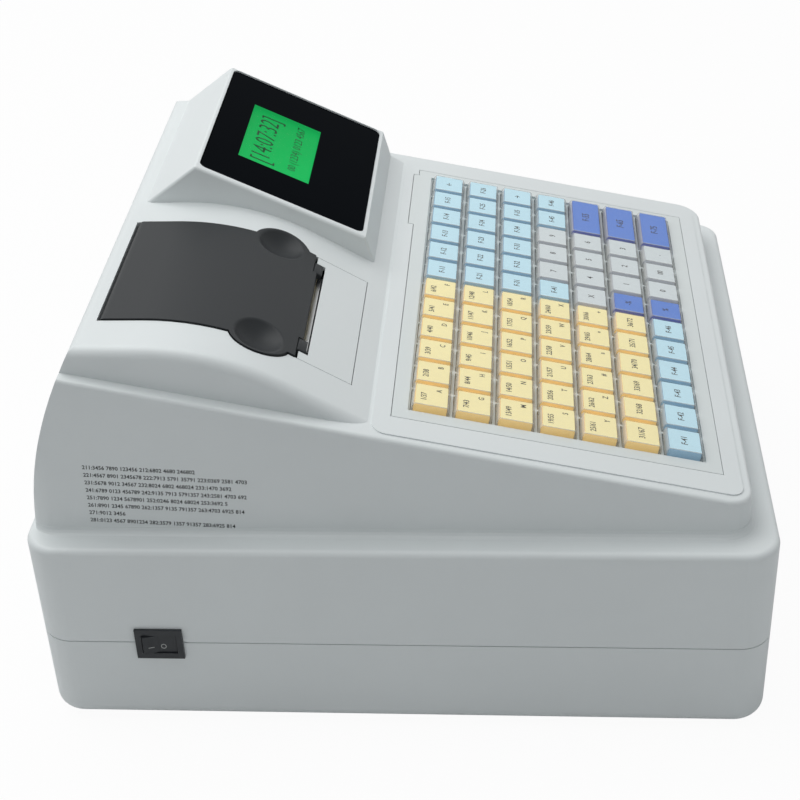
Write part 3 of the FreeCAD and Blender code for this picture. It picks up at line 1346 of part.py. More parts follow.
def make_top_case():
    """The sloping upper housing with the printer deck and display hood moulded in."""
    def wedge(inset):
        return plan_solid(inset).common(back_solid(inset)).common(deck_solid(inset))

    body = wedge(0)
    normal = key_plane.Rotation.multVec(vec(0, 0, 1))
    deck = max(body.Faces, key=lambda face: face.CenterOfMass.dot(normal) if face.Area > float(S.case_width) else 0)
    rims = [edge for edge in deck.Edges if edge.BoundBox.YMin < float(hump_crown)]
    body = body.makeFillet(float(S.deck_edge), rims)
    plateau = sloped_slab(key_plane, 0, S.plateau_width, S.plateau_length, S.plateau_corner,
                          -deck_thick, 0)
    outer = body.fuse([foot_flare(), hump_solid(0), hood_solid(0), plateau])
    inner = wedge(S.top_wall).fuse([hump_solid(S.top_wall), hood_solid(S.top_wall)])
    shell = outer.cut(inner)
    pane_seat = S.glass_sink + S.glass_thick
    frame_seat = S.plate_thick
    extras = [
        sloped_slab(glass_plane, glass_centre_x, S.glass_width, S.glass_length, S.glass_corner,
                    -pane_seat - S.seat_thick, -S.glass_sink),
        sloped_slab(key_plane, 0, S.plate_width + S.border, S.plate_length + S.border, S.glass_sink,
                    -frame_seat - S.seat_thick, -frame_seat + S.glass_sink),
    ]
    ear = S.hinge_ear
    for side in (-1, 1):
        edge = S.printer_centre + side * (S.cover_width / 2 + S.cover_gap)
        near, far = sorted((float(edge), float(edge + side * ear)))
        extras.append(solid_box(
            (near, far),
            (cover_axis - S.cover_barrel, cover_axis + S.cover_barrel),
            (cover_axis_z - S.cover_barrel, hump_height - S.overrun / 2),
        ))
    shell = shell.fuse(extras)
    play = S.cover_gap
    panel_front = solid_box((printer_low - S.slip_gap, printer_high + S.slip_gap),
                            (slip_front - S.slip_gap, cover_front + S.overrun),
                            (S.rim_height + S.board_lift * 4, far_up))
    pin_reach = S.cover_width / 2 + S.cover_gap + S.cover_pin_length + S.gap
    tools = [
        sloped_slab(glass_plane, glass_centre_x, S.glass_width + S.gap, S.glass_length + S.gap,
                    S.glass_corner, -pane_seat, S.hood_edge * 2),
        sloped_slab(glass_plane, glass_centre_x, S.glass_width - S.glass_ledge * 2,
                    S.glass_length - S.glass_ledge * 2, S.glass_corner, -S.hood_edge * 4, S.hood_edge * 2),
        frame_cutout(S.plate_gap, -frame_seat, S.hood_edge),
        sloped_box(key_plane,
                   (-S.plate_width / 2 + S.border - S.gap, S.plate_width / 2 - S.border + S.gap),
                   (-S.plate_length / 2 + S.border - S.gap, S.plate_length / 2 - S.border + S.gap),
                   (-S.skirt_drop, S.hood_edge)),
        printer_outline(play, cover_front),
        panel_front,
        Part.makeCylinder(float(S.cover_pin + S.cover_play), 2 * float(pin_reach),
                          vec(S.printer_centre - pin_reach, cover_axis, cover_axis_z), vec(1, 0, 0)),
    ]
    for tool in tools:
        shell = shell.cut(tool)
    shell = max(shell.Solids, key=lambda solid: solid.Volume)
    return node("top_case", feature("TopCase", shell.removeSplitter()))


def make_panes():
    """The display pane and the display module behind it."""
    pane = sloped_slab(glass_plane, glass_centre_x, S.glass_width, S.glass_length, S.glass_corner,
                       -S.glass_sink - S.glass_thick, -S.glass_sink)
    node("display_window", feature("DisplayWindow", pane))
    under = S.glass_sink + S.glass_thick + S.seat_thick
    margin = S.panel_margin
    left, right = S.glass_left + margin, S.glass_left + S.glass_width - margin
    half = S.glass_length / 2
    board = sloped_box(glass_plane, (left, right), (-half + margin, half - margin),
                       (-under - S.board_sheet, -under))
    lcd_left = S.glass_left + S.lcd_left
    panel = sloped_box(glass_plane, (lcd_left, lcd_left + S.lcd_width),
                       (half - S.lcd_top - S.lcd_length, half - S.lcd_top),
                       (-under - S.overrun / 2, -S.glass_sink - S.glass_thick - S.gap))
    node("display_module", feature("DisplayModule", board.fuse(panel).removeSplitter()))


# Keyboard

def key_spot(row, column):
    """The middle of a key on the slope, from its row and column."""
    x = S.key_spacing * (column - (float(S.key_columns) + 1) / 2)
    y = S.key_spacing * ((float(S.key_rows) + 1) / 2 - row)
    return x, y


def frustum(x, y, base, top, low, high):
    """A square block that tapers evenly; base and top are (width, length) pairs."""
    wires = []
    for (width, length), height in ((base, low), (top, high)):
        w, d = width / 2, length / 2
        wires.append(Part.makePolygon([
            vec(x - w, y - d, height), vec(x + w, y - d, height), vec(x + w, y + d, height),
            vec(x - w, y + d, height), vec(x - w, y - d, height),
        ]))
    return Part.makeLoft(wires, True, True)


def key_solid(row, column, span):
    """One key: a bevelled cap over a skirt with a catch, hollow over its rubber dome."""
    x, y = key_spot(row, column)
    extra = S.key_spacing * (span - 1)
    x = x + extra / 2
    flange_top = -S.web_sink - S.web_thick - S.gap
    flange_low = flange_top - S.flange_thick
    shoulder = S.key_rise - S.key_bevel

    def slab(width, length, low, high):
        return solid_box((x - width / 2, x + width / 2), (y - length / 2, y + length / 2), (low, high))

    flange = slab(S.key_flange + extra, S.key_flange, flange_low, flange_top)
    body = slab(S.key_body + extra, S.key_body, flange_top, shoulder)
    cap = frustum(x, y, (S.key_body + extra, S.key_body), (S.key_top_width + extra, S.key_top_length),
                  shoulder, S.key_rise)
    hollow_top = S.key_rise - S.key_skin
    cavity = slab(S.key_hollow + extra, S.key_hollow, flange_low - S.overrun, hollow_top)
    return flange.fuse([body, cap]).removeSplitter().cut(cavity)


def make_keys():
    """Every bank of keys as its own sub-part, each key a separate solid."""
    for label, ranges in KEY_BANKS:
        solids = []
        for first_row, last_row, first_column, last_column in ranges:
            for row in range(first_row, last_row + 1):
                for column in range(first_column, last_column + 1):
                    solids.append(key_solid(row, column, 1))
        bank = feature(label, Part.makeCompound(solids) if len(solids) > 1 else solids[0])
        bank.Placement = key_plane
        node(label, bank)
    for label, row in WIDE_KEYS:
        wide = feature(label, key_solid(row, WIDE_FIRST_COLUMN, 2))
        wide.Placement = key_plane
        node(label, wide)


def every_spot():
    """Row, column and span of each key place on the frame."""
    wide_rows = [row for _, row in WIDE_KEYS]
    spots = []
    for row in range(1, int(float(S.key_rows)) + 1):
        for column in range(1, int(float(S.key_columns)) + 1):
            if row in wide_rows and column >= WIDE_FIRST_COLUMN:
                if column == WIDE_FIRST_COLUMN:
                    spots.append((row, column, 2))
            else:
                spots.append((row, column, 1))
    return spots


def make_keyboard():
    """The frame with an opening for each key, the rubber mat with its domes and the circuit board."""
    flat = FreeCAD.Placement()
    border = frame_cutout(Length(0.0, "0"), -S.plate_thick, 0)
    border.Placement = flat
    half_x, half_y = S.plate_width / 2 - S.border, S.plate_length / 2 - S.border
    field_x, field_y = half_x - S.skirt_wall, half_y - S.skirt_wall
    skirt = solid_box((-half_x, half_x), (-half_y, half_y), (-S.skirt_drop, -S.overrun / 2))
    below = solid_box((-field_x, field_x), (-field_y, field_y), (-S.skirt_drop - S.overrun, -S.web_sink - S.web_thick))
    above = solid_box((-field_x, field_x), (-field_y, field_y), (-S.web_sink, S.overrun))
    frame = border.fuse(skirt).removeSplitter().cut(below).cut(above)
    holes = []
    for row, column, span in every_spot():
        x, y = key_spot(row, column)
        extra = S.key_spacing * (span - 1)
        w, d = (S.key_hole + extra) / 2, S.key_hole / 2
        x = x + extra / 2
        holes.append(solid_box((x - w, x + w), (y - d, y + d), (-S.skirt_drop, S.overrun)))
    frame = feature("KeyboardFrame", frame.cut(Part.makeCompound(holes)))
    frame.Placement = key_plane
    node("keyboard_frame", frame)

    mat_x, mat_y = field_x - S.gap, field_y - S.gap
    mat = solid_box((-mat_x, mat_x), (-mat_y, mat_y), (-S.mat_level - S.mat_thick, -S.mat_level))
    domes = []
    for row, column, span in every_spot():
        x, y = key_spot(row, column)
        x = x + S.key_spacing * (span - 1) / 2
        domes.append(frustum(x, y, (S.dome_base, S.dome_base), (S.dome_top, S.dome_top),
                             -S.mat_level, -S.mat_level + S.dome_rise))
    mat = feature("KeyMat", mat.fuse(domes).removeSplitter())
    mat.Placement = key_plane
    node("key_mat", mat)

    board = sloped_box(key_plane, (-half_x, half_x), (-half_y, half_y),
                       (-S.skirt_drop - S.board_sheet, -S.skirt_drop))
    node("key_board", feature("KeyBoard", board))


# Printer

def make_printer_cover():
    """The lid: a thin shell that follows the printer deck, with scooped finger wings and hinge pins."""
    far_x = S.cover_width
    band = hump_prism(-S.cover_proud, S.printer_centre - far_x, S.printer_centre + far_x)
    band = band.cut(hump_prism(S.cover_thick - S.cover_proud, S.printer_centre - far_x,
                               S.printer_centre + far_x))
    zero = Length(0.0, "0")
    outline_solid = printer_outline(zero, cover_front)
    nose_half = S.cutter_length / 2 + S.gap
    nose = solid_box((S.printer_centre - nose_half, S.printer_centre + nose_half),
                     (cover_nose, cover_front + S.overrun), (S.rim_height + S.board_lift * 4, far_up))
    trim = solid_box((printer_low - far_x, printer_high + far_x), (cover_axis, half_depth),
                     (S.rim_height, far_up))
    plate = band.common(outline_solid.fuse(nose)).cut(trim)
    barrel = Part.makeCylinder(float(S.cover_barrel), float(S.cover_width),
                               vec(printer_low, cover_axis, cover_axis_z), vec(1, 0, 0))
    reach = S.cover_width / 2 + S.cover_gap + S.cover_pin_length
    pin = Part.makeCylinder(float(S.cover_pin), 2 * float(reach),
                            vec(S.printer_centre - reach, cover_axis, cover_axis_z), vec(1, 0, 0))
    cover = plate.fuse([barrel, pin])
    mouth = float(S.wing_radius - S.scoop_rim)
    depth = float(S.scoop_depth)
    bowl = (mouth * mouth + depth * depth) / (depth + depth)
    surface = hump_height_at(wing_centre) + float(S.cover_proud)
    lean = math.asin((float(hump_crown) - float(wing_centre)) / float(S.hump_radius))
    out = FreeCAD.Vector(0, -math.sin(lean), math.cos(lean))
    under_lid = hump_prism(-S.cover_proud, S.printer_centre - far_x, S.printer_centre + far_x)
    for x in (printer_low + S.wing_inset, printer_high - S.wing_inset):
        centre = vec(x, wing_centre, surface) + out * (bowl - depth)
        dish = Part.makeSphere(bowl + float(S.cover_thick), centre).common(outline_solid).common(under_lid)
        cover = cover.fuse(dish).cut(Part.makeSphere(bowl, centre))
        mouth_edges = [edge for edge in cover.Edges if on_ball(edge, centre, bowl)]
        cover = cover.makeFillet(float(S.scoop_edge), mouth_edges)
    return node("printer_cover", feature("PrinterCover", cover.removeSplitter()))


def on_ball(edge, centre, radius):
    """Whether an edge lies on a ball's surface."""
    first, last = edge.ParameterRange
    points = [edge.valueAt(first + (last - first) * share) for share in (0, 0.5, 1)]
    return all(abs(point.distanceToPoint(centre) - radius) < float(S.touch) for point in points)


def hump_height_at(y):
    """The printer deck's height at a place on its curve."""
    run = float(hump_crown) - float(y)
    radius = float(S.hump_radius)
    return float(hump_height) - radius + math.sqrt(radius * radius - run * run)


def make_front_panel():
    """The pale panel ahead of the paper slot, with a tab at each end."""
    low, high = printer_low, printer_high
    points = [
        (low, slip_front), (high, slip_front), (high, slip_tab), (high - S.slip_tab_width, slip_tab),
        (high - S.slip_tab_width, slip_back), (low + S.slip_tab_width, slip_back),
        (low + S.slip_tab_width, slip_tab), (low, slip_tab),
    ]
    column = prism_z(points, S.rim_height, far_up)
    zero = Length(0.0, "0")
    band = hump_prism(zero, low - S.overrun, high + S.overrun)
    band = band.cut(hump_prism(S.slip_thick, low - S.overrun * 2, high + S.overrun * 2))
    return node("printer_front_panel", feature("PrinterFrontPanel", band.common(column).removeSplitter()))


def slope_frame(y):
    """A placement on the straight part of the printer deck, its y running up the fall."""
    angle = float(S.hump_fall)
    turn = math.radians(angle)
    radius = float(S.hump_radius)
    end_y = float(hump_crown) - radius * math.sin(turn)
    end_z = float(hump_height) - radius + radius * math.cos(turn)
    z = end_z - (end_y - float(y)) * math.tan(turn)
    return FreeCAD.Placement(vec(0, y, z), FreeCAD.Rotation(FreeCAD.Vector(1, 0, 0), angle))


def make_cutter():
    """The toothed strip under the cover's front edge."""
    half = S.cutter_length / 2
    count = int(float(S.tooth_count))
    step = float(S.cutter_length) / count
    left = float(S.printer_centre - half)
    points = [(left, float(S.cutter_width)), (left, 0)]
    for index in range(count):
        points.append((left + step * (index + 0.5), -float(S.tooth_depth)))
        points.append((left + step * (index + 1), 0))
    points.append((left + step * count, float(S.cutter_width)))
    top = S.cover_proud - S.cover_thick
    strip = prism_z(points, top - S.cutter_sheet, top)
    strip.Placement = slope_frame(cover_nose)
    node("cutter_bar", feature("CutterBar", strip))


def gear_profile(teeth, module, height, backlash):
    """A spur gear blank with straight-sided teeth, one tooth pointing along +X."""
    pitch_radius = teeth * module / 2
    tip, root = pitch_radius + module * 0.9, pitch_radius - module * 1.15
    half = (math.pi * module / 2 - backlash) / 2
    points = []
    for index in range(teeth):
        middle = 2 * math.pi * index / teeth
        for radius, width, sign in ((root, half * 1.5, -1), (tip, half * 0.5, -1),
                                    (tip, half * 0.5, 1), (root, half * 1.5, 1)):
            angle = middle + sign * width / radius
            points.append((radius * math.cos(angle), radius * math.sin(angle)))
    return prism_z(points, 0, height)


def make_printer():
    """Frame, print head, platen with its gear, feed motor with its pinion, bucket and paper roll."""
    x0 = S.printer_centre - S.frame_width / 2
    x1 = S.printer_centre + S.frame_width / 2
    sheet_t = S.frame_sheet
    axis = (platen_back, platen_height)
    distance = (S.gear_teeth + S.pinion_teeth) * S.tooth_module / 2
    motor_axis = (platen_back, platen_height - distance)
    base = block("FrameBase", (x0, x1), (frame_front, frame_back), (frame_low, frame_low + sheet_t))
    cheek_l = block("CheekLeft", (x0, x0 + sheet_t), (frame_front, frame_back), (frame_low, frame_high))
    cheek_r = block("CheekRight", (x1 - sheet_t, x1), (frame_front, frame_back), (frame_low, frame_high))
    shaft_bore = rod("ShaftBore", S.platen_shaft + S.platen_play, "x", (x0 - S.overrun, x1 + S.overrun), axis)
    motor_bore = rod("MotorBore", S.platen_shaft * 2, "x", (x0 - S.overrun, x0 + sheet_t + S.overrun), motor_axis)
    node("printer_frame", cut("PrinterFrame", fuse("FrameBody", [base, cheek_l, cheek_r]),
                              [shaft_bore, motor_bore]))

    head_back = platen_back - S.platen_radius - S.head_gap
    head_front = head_back - S.head_thick
    head_low = motor_axis[1] + S.motor_radius + S.gap * 2
    heat_sink = block("HeadPlate", (x0 + sheet_t, x1 - sheet_t), (head_front, head_back),
                      (head_low, frame_high))
    bead = rod("HeadBead", S.head_thick / 2, "x", (x0 + sheet_t * 4, x1 - sheet_t * 4),
               (head_front, platen_height))
    stay = block("HeadStay", (x0 + sheet_t, x1 - sheet_t), (frame_front, head_front),
                 (head_low, head_low + sheet_t))
    node("print_head", fuse("PrintHead", [heat_sink, bead, stay]))

    rubber = rod("PlatenRubber", S.platen_radius, "x", (x0 + sheet_t * 2, x1 - sheet_t * 2), axis)
    shaft = rod("PlatenShaft", S.platen_shaft, "x", (x0 - S.gear_width - sheet_t * 2, x1 + sheet_t), axis)
    node("platen_roller", fuse("PlatenRoller", [rubber, shaft]))

    teeth, pinion = int(float(S.gear_teeth)), int(float(S.pinion_teeth))
    module, lash = float(S.tooth_module), float(S.gear_backlash)
    gear_x = x0 - S.gear_width - sheet_t / 2
    quarter = FreeCAD.Rotation(FreeCAD.Vector(0, 1, 0), 90)
    gear = gear_profile(teeth, module, float(S.gear_width), lash)
    gear = gear.cut(Part.makeCylinder(float(S.platen_shaft), float(S.gear_width)))
    gear = feature("PlatenGear", gear)
    gear.Placement = FreeCAD.Placement(vec(gear_x, *axis), quarter)
    node("platen_gear", gear)
    small = gear_profile(pinion, module, float(S.gear_width), lash)
    in_mesh = FreeCAD.Rotation(FreeCAD.Vector(0, 0, 1), math.degrees(math.pi * (pinion - 1) / pinion))
    small.Placement = FreeCAD.Placement(vec(0, 0, 0), in_mesh)
    stem = Part.makeCylinder(float(S.platen_shaft), float(sheet_t * 4), vec(0, 0, S.gear_width))
    small = feature("MotorPinion", small.fuse(stem).removeSplitter())
    small.Placement = FreeCAD.Placement(vec(gear_x, *motor_axis), quarter)
    node("motor_pinion", small)
    body_x = x0 + sheet_t
    can = rod("MotorCan", S.motor_radius, "x", (body_x + sheet_t, body_x + sheet_t + S.motor_length), motor_axis)
    flange = block("MotorFlange", (body_x, body_x + sheet_t),
                   (motor_axis[0] - S.motor_radius, motor_axis[0] + S.motor_radius),
                   (frame_low + sheet_t, motor_axis[1] + S.motor_radius))
    recess = rod("MotorRecess", S.platen_shaft + S.platen_play, "x",
                 (body_x - S.overrun, body_x + sheet_t * 4), motor_axis)
    node("feed_motor", cut("FeedMotor", fuse("MotorBody", [can, flange]), [recess]))

    roll_axis = (roll_back, roll_height)
    half = S.roll_width / 2
    paper = rod("Paper", S.roll_radius, "x", (S.printer_centre - half, S.printer_centre + half), roll_axis)
    core = rod("PaperCore", S.roll_core, "x",
               (S.printer_centre - half - S.overrun, S.printer_centre + half + S.overrun), roll_axis)
    node("paper_roll", cut("PaperRoll", paper, [core]))

    wall = S.bucket_wall
    clear = S.roll_radius + S.bucket_gap
    side = half + S.overrun
    outer_drum = rod("BucketDrum", clear + wall, "x",
                     (S.printer_centre - side - wall, S.printer_centre + side + wall), roll_axis)
    outer_box = block("BucketBox", (S.printer_centre - side - wall, S.printer_centre + side + wall),
                      (roll_back - clear - wall, roll_back + clear + wall),
                      (roll_height, roll_height + S.bucket_rise))
    inner_drum = rod("BucketBore", clear, "x", (S.printer_centre - side, S.printer_centre + side), roll_axis)
    inner_box = block("BucketMouth", (S.printer_centre - side, S.printer_centre + side),
                      (roll_back - clear, roll_back + clear),
                      (roll_height, roll_height + S.bucket_rise + clear))
    head_off = block("BucketHead", (S.printer_centre - side - wall * 2, S.printer_centre + side + wall * 2),
                     (roll_back - clear - wall * 2, roll_back + clear + wall * 2),
                     (roll_height + S.bucket_rise, roll_height + S.bucket_rise + clear * 2))
    node("paper_bucket", cut("PaperBucket", fuse("BucketBody", [outer_drum, outer_box]),
                             [inner_drum, inner_box, head_off]))


def make_main_board():
    """The main circuit board on its posts, with chips, capacitors and a connector."""
    x0, y0 = S.board_left, board_front
    x1, y1 = x0 + S.board_width, y0 + S.board_length
    low = S.rim_height + S.board_lift
    top = low + S.board_sheet
    board = block("MainBoardSheet", (x0, x1), (y0, y1), (low, top))
    parts = [board]
    chip = S.chip_size
    for index, (share_x, share_y) in enumerate(((0.25, 0.3), (0.6, 0.3), (0.25, 0.65))):
        cx, cy = x0 + S.board_width * share_x, y0 + S.board_length * share_y
        parts.append(block("Chip%d" % index, (cx - chip, cx + chip), (cy - chip / 2, cy + chip / 2),
                           (top, top + S.chip_rise)))
    for index, share_y in enumerate((0.35, 0.55, 0.75)):
        centre = (x0 + S.board_width * 0.85, y0 + S.board_length * share_y)
        parts.append(rod("Can%d" % index, S.can_radius, "z", (top, top + S.can_rise), centre))
    parts.append(block("Header", (x0 + chip, x0 + chip * 4), (y1 - chip, y1 - chip / 2),
                       (top, top + S.can_rise * 0.8)))
    node("main_board", fuse("MainBoard", parts))


# Build and check

def build():
    """Make every sub-part in the order in which the register is assembled."""
    make_base_pan()
    make_feet()
    make_drawer_case()
    make_case_screws()
    make_drawer_tray()
    make_drawer_front()
    make_lock_barrel()
    make_cash_insert()
    make_coin_cups()
    make_bill_clips()
    make_latch()
    make_switch()
    make_power_inlet()
    make_transformer()
    make_data_port()
    make_top_case()
    make_panes()
    make_keyboard()
    make_keys()
    make_printer_cover()
    make_front_panel()
    make_cutter()
    make_printer()
    make_main_board()
    doc.recompute()


def check():
    """Stop if any object failed or any sub-part is not a sound solid."""
    for obj in doc.Objects:
        bad = [state for state in obj.State if state in ("Invalid", "Error")]
        if bad:
            raise RuntimeError("%s (%s) is %s" % (obj.Name, obj.Label, bad))
    for obj in nodes:
        if obj.Shape.isNull() or not obj.Shape.isValid() or not obj.Shape.Solids:
            raise RuntimeError("%s has no sound shape" % obj.Label)


def export():
    """Write one file for each sub-part."""
    os.makedirs("parts", exist_ok=True)
    for obj in nodes:
        obj.Shape.exportStep("parts/%s.step" % obj.Label)
        box = obj.Shape.BoundBox
        print("%-24s %d solid(s)  x %.1f %.1f  y %.1f %.1f  z %.1f %.1f" % (
            obj.Label, len(obj.Shape.Solids), box.XMin, box.XMax, box.YMin, box.YMax, box.ZMin, box.ZMax))


build()
check()
export()
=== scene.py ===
import json
import logging
import math
from dataclasses import dataclass, field
from enum import Enum
from typing import Callable, Optional, Sequence, Union

import bmesh
import bpy
from mathutils import Matrix, Vector

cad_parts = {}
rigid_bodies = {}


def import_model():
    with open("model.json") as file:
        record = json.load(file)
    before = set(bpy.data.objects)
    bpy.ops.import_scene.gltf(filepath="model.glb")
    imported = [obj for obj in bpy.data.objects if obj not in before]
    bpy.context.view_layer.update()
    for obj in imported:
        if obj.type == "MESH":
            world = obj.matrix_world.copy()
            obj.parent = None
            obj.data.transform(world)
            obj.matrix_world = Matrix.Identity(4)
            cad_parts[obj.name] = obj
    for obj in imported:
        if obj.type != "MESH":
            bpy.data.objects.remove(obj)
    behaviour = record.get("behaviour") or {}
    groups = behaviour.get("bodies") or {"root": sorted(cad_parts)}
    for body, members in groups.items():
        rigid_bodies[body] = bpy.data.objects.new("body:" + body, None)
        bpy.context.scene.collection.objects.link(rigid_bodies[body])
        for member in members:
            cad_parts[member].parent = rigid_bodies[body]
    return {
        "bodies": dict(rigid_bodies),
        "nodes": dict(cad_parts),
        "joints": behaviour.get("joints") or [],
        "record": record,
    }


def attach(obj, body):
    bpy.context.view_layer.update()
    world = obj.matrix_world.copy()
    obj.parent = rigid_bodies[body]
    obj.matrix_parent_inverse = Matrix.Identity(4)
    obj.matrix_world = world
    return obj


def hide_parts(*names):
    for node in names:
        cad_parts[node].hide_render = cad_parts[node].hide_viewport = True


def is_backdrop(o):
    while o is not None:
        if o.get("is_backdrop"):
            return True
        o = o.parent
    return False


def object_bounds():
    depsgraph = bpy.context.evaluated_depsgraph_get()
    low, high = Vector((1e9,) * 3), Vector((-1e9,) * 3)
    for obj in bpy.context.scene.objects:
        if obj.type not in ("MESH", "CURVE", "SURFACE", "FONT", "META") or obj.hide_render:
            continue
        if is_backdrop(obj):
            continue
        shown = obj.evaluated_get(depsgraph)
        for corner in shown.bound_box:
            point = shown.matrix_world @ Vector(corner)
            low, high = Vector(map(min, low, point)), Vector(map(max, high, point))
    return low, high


# Dresses the ticket register: finishes for every solid, clear key caps over printed labels, the lit
# display, the print on the case, and the light, floor and camera.

LOG = logging.getLogger("ticket_register")
MM = 0.001
Number = Union[float, "Value"]


def metres(*lengths: float) -> Vector:
    """A point or size given in millimetres, as a vector in metres."""
    return Vector(lengths) * MM


# Shader building


class Value:
    """One number socket of a node tree, so that maths on it is written as Python."""

    def __init__(self, sheet: "NodeSheet", socket: bpy.types.NodeSocket) -> None:
        """Wrap a socket.

        Args:
            sheet: The node tree that the socket belongs to.
            socket: The number socket.
        """
        self.sheet = sheet
        self.socket = socket

    def maths(self, operation: str, *others: Number, first: Optional[Number] = None) -> "Value":
        """Add one Math node.

        Args:
            operation: The node's operation.
            others: What follows this value in the operation.
            first: What comes before this value, for the reflected operators.

        Returns:
            The node's result.
        """
        terms = [self, *others] if first is None else [first, self]
        made = self.sheet.add("ShaderNodeMath", {"operation": operation}, dict(enumerate(terms)))
        return Value(self.sheet, made.outputs[0])

    def __add__(self, other: Number) -> "Value":
        """This value plus another."""
        return self.maths("ADD", other)

    def __radd__(self, other: Number) -> "Value":
        """Another value plus this one."""
        return self.maths("ADD", other)

    def __sub__(self, other: Number) -> "Value":
        """This value less another."""
        return self.maths("SUBTRACT", other)

    def __rsub__(self, other: Number) -> "Value":
        """Another value less this one."""
        return self.maths("SUBTRACT", first=other)

    def __mul__(self, other: Number) -> "Value":
        """This value times another."""
        return self.maths("MULTIPLY", other)

    def __rmul__(self, other: Number) -> "Value":
        """Another value times this one."""
        return self.maths("MULTIPLY", other)

    def __abs__(self) -> "Value":
        """The size of this value."""
        return self.maths("ABSOLUTE")

    def larger(self, other: Number) -> "Value":
        """The larger of two values."""
        return self.maths("MAXIMUM", other)

    def smaller(self, other: Number) -> "Value":
        """The smaller of two values."""
        return self.maths("MINIMUM", other)

    def sine(self) -> "Value":
        """The sine of this value."""
        return self.maths("SINE")

    def root(self) -> "Value":
        """The square root of this value."""
        return self.maths("SQRT")

    def share(self) -> "Value":
        """This value held between nought and one."""
        return self.larger(0.0).smaller(1.0)


class NodeSheet:
    """The node tree of a material or of the world."""

    def __init__(self, owner: Union[bpy.types.Material, bpy.types.World]) -> None:
        """Empty the owner's node tree.

        Args:
            owner: The material or the world.
        """
        owner.use_nodes = True
        self.tree = owner.node_tree
        self.tree.nodes.clear()

    def link(self, start: bpy.types.NodeSocket, end: bpy.types.NodeSocket) -> None:
        """Join two sockets."""
        self.tree.links.new(start, end)

    def add(self, kind: str, settings: Optional[dict] = None,
            inputs: Optional[dict] = None) -> bpy.types.Node:
        """Add one node.

        Args:
            kind: The node's type.
            settings: Its settings, set before its sockets.
            inputs: Values or links of its sockets, by name or number.

        Returns:
            The node.
        """
        made = self.tree.nodes.new(kind)
        for key, value in (settings or {}).items():
            setattr(made, key, value)
        for key, value in (inputs or {}).items():
            self.feed(made.inputs[key], value)
        return made

    def feed(self, socket: bpy.types.NodeSocket, value: object) -> None:
        """Set a socket, or link it.

        Args:
            socket: The socket to set.
            value: A number, a colour, a Value or another socket.
        """
        if isinstance(value, Value):
            self.link(value.socket, socket)
        elif isinstance(value, bpy.types.NodeSocket):
            self.link(value, socket)
        elif isinstance(value, (tuple, list, Vector)) and len(socket.default_value) == 4:
            socket.default_value = (*value[:3], 1.0)
        else:
            socket.default_value = value

    def blend(self, share: Number, low: object, high: object) -> bpy.types.NodeSocket:
        """Mix two colours.

        Args:
            share: How much of the second colour.
            low: The first colour.
            high: The second colour.

        Returns:
            The mixed colour.
        """
        made = self.add("ShaderNodeMix", {"data_type": "RGBA"}, {0: share, 6: low, 7: high})
        return made.outputs[2]


class ShaderSheet(NodeSheet):
    """One material with a Principled shader."""

    def __init__(self, name: str) -> None:
        """Start a material.

        Args:
            name: The material's name.
        """
        self.material = bpy.data.materials.new(name)
        super().__init__(self.material)
        self.output = self.add("ShaderNodeOutputMaterial")
        self.shader = self.add("ShaderNodeBsdfPrincipled")
        self.link(self.shader.outputs[0], self.output.inputs[0])

    def place(self) -> tuple["Value", "Value", "Value"]:
        """The three Object coordinates, in metres."""
        where = self.add("ShaderNodeTexCoord").outputs["Object"]
        parts = self.add("ShaderNodeSeparateXYZ", None, {0: where}).outputs
        return Value(self, parts[0]), Value(self, parts[1]), Value(self, parts[2])

    def noise(self, size: float, detail: float = 2.0, stretch: Sequence[float] = (1.0, 1.0, 1.0)) -> "Value":
        """Cloudy noise.

        Args:
            size: Width of one cloud in metres.
            detail: Octaves of finer noise on top.
            stretch: How many times finer the noise is along each axis.

        Returns:
            The noise, about a half on average.
        """
        where = self.add("ShaderNodeTexCoord").outputs["Object"]
        scaled = self.add("ShaderNodeMapping", None, {"Vector": where, "Scale": stretch}).outputs[0]
        made = self.add("ShaderNodeTexNoise", None, {"Vector": scaled, "Scale": 1.0 / size, "Detail": detail})
        return Value(self, made.outputs[0])

    def bump(self, height: "Value", depth: float, strength: float = 1.0) -> bpy.types.NodeSocket:
        """A bumped normal.

        Args:
            height: The height, from nought to one.
            depth: How deep one is, in metres.
            strength: Share of the bump that is kept.

        Returns:
            The normal.
        """
        made = self.add("ShaderNodeBump", None, {"Height": height, "Distance": depth, "Strength": strength})
        return made.outputs[0]

    def dress(self, **sockets: object) -> bpy.types.Material:
        """Set sockets of the shader; an underscore in a name stands for a space.

        Args:
            sockets: Values or links by socket name.

        Returns:
            The material.
        """
        for key, value in sockets.items():
            self.feed(self.shader.inputs[key.replace("_", " ")], value)
        return self.material


Colour = tuple[float, float, float]
PURE_WHITE: Colour = (1.0, 1.0, 1.0)


def written(red: int, green: int, blue: int) -> Colour:
    """A colour given as screen numbers up to 255, as the linear shares a shader takes."""

    def linear(number: int) -> float:
        """One channel."""
        share = number / 255
        return share / 12.92 if share <= 0.04045 else ((share + 0.055) / 1.055) ** 2.4

    return linear(red), linear(green), linear(blue)


def shaded(colour: Colour, factor: float) -> Colour:
    """A colour made darker or lighter."""
    return tuple(min(1.0, channel * factor) for channel in colour)


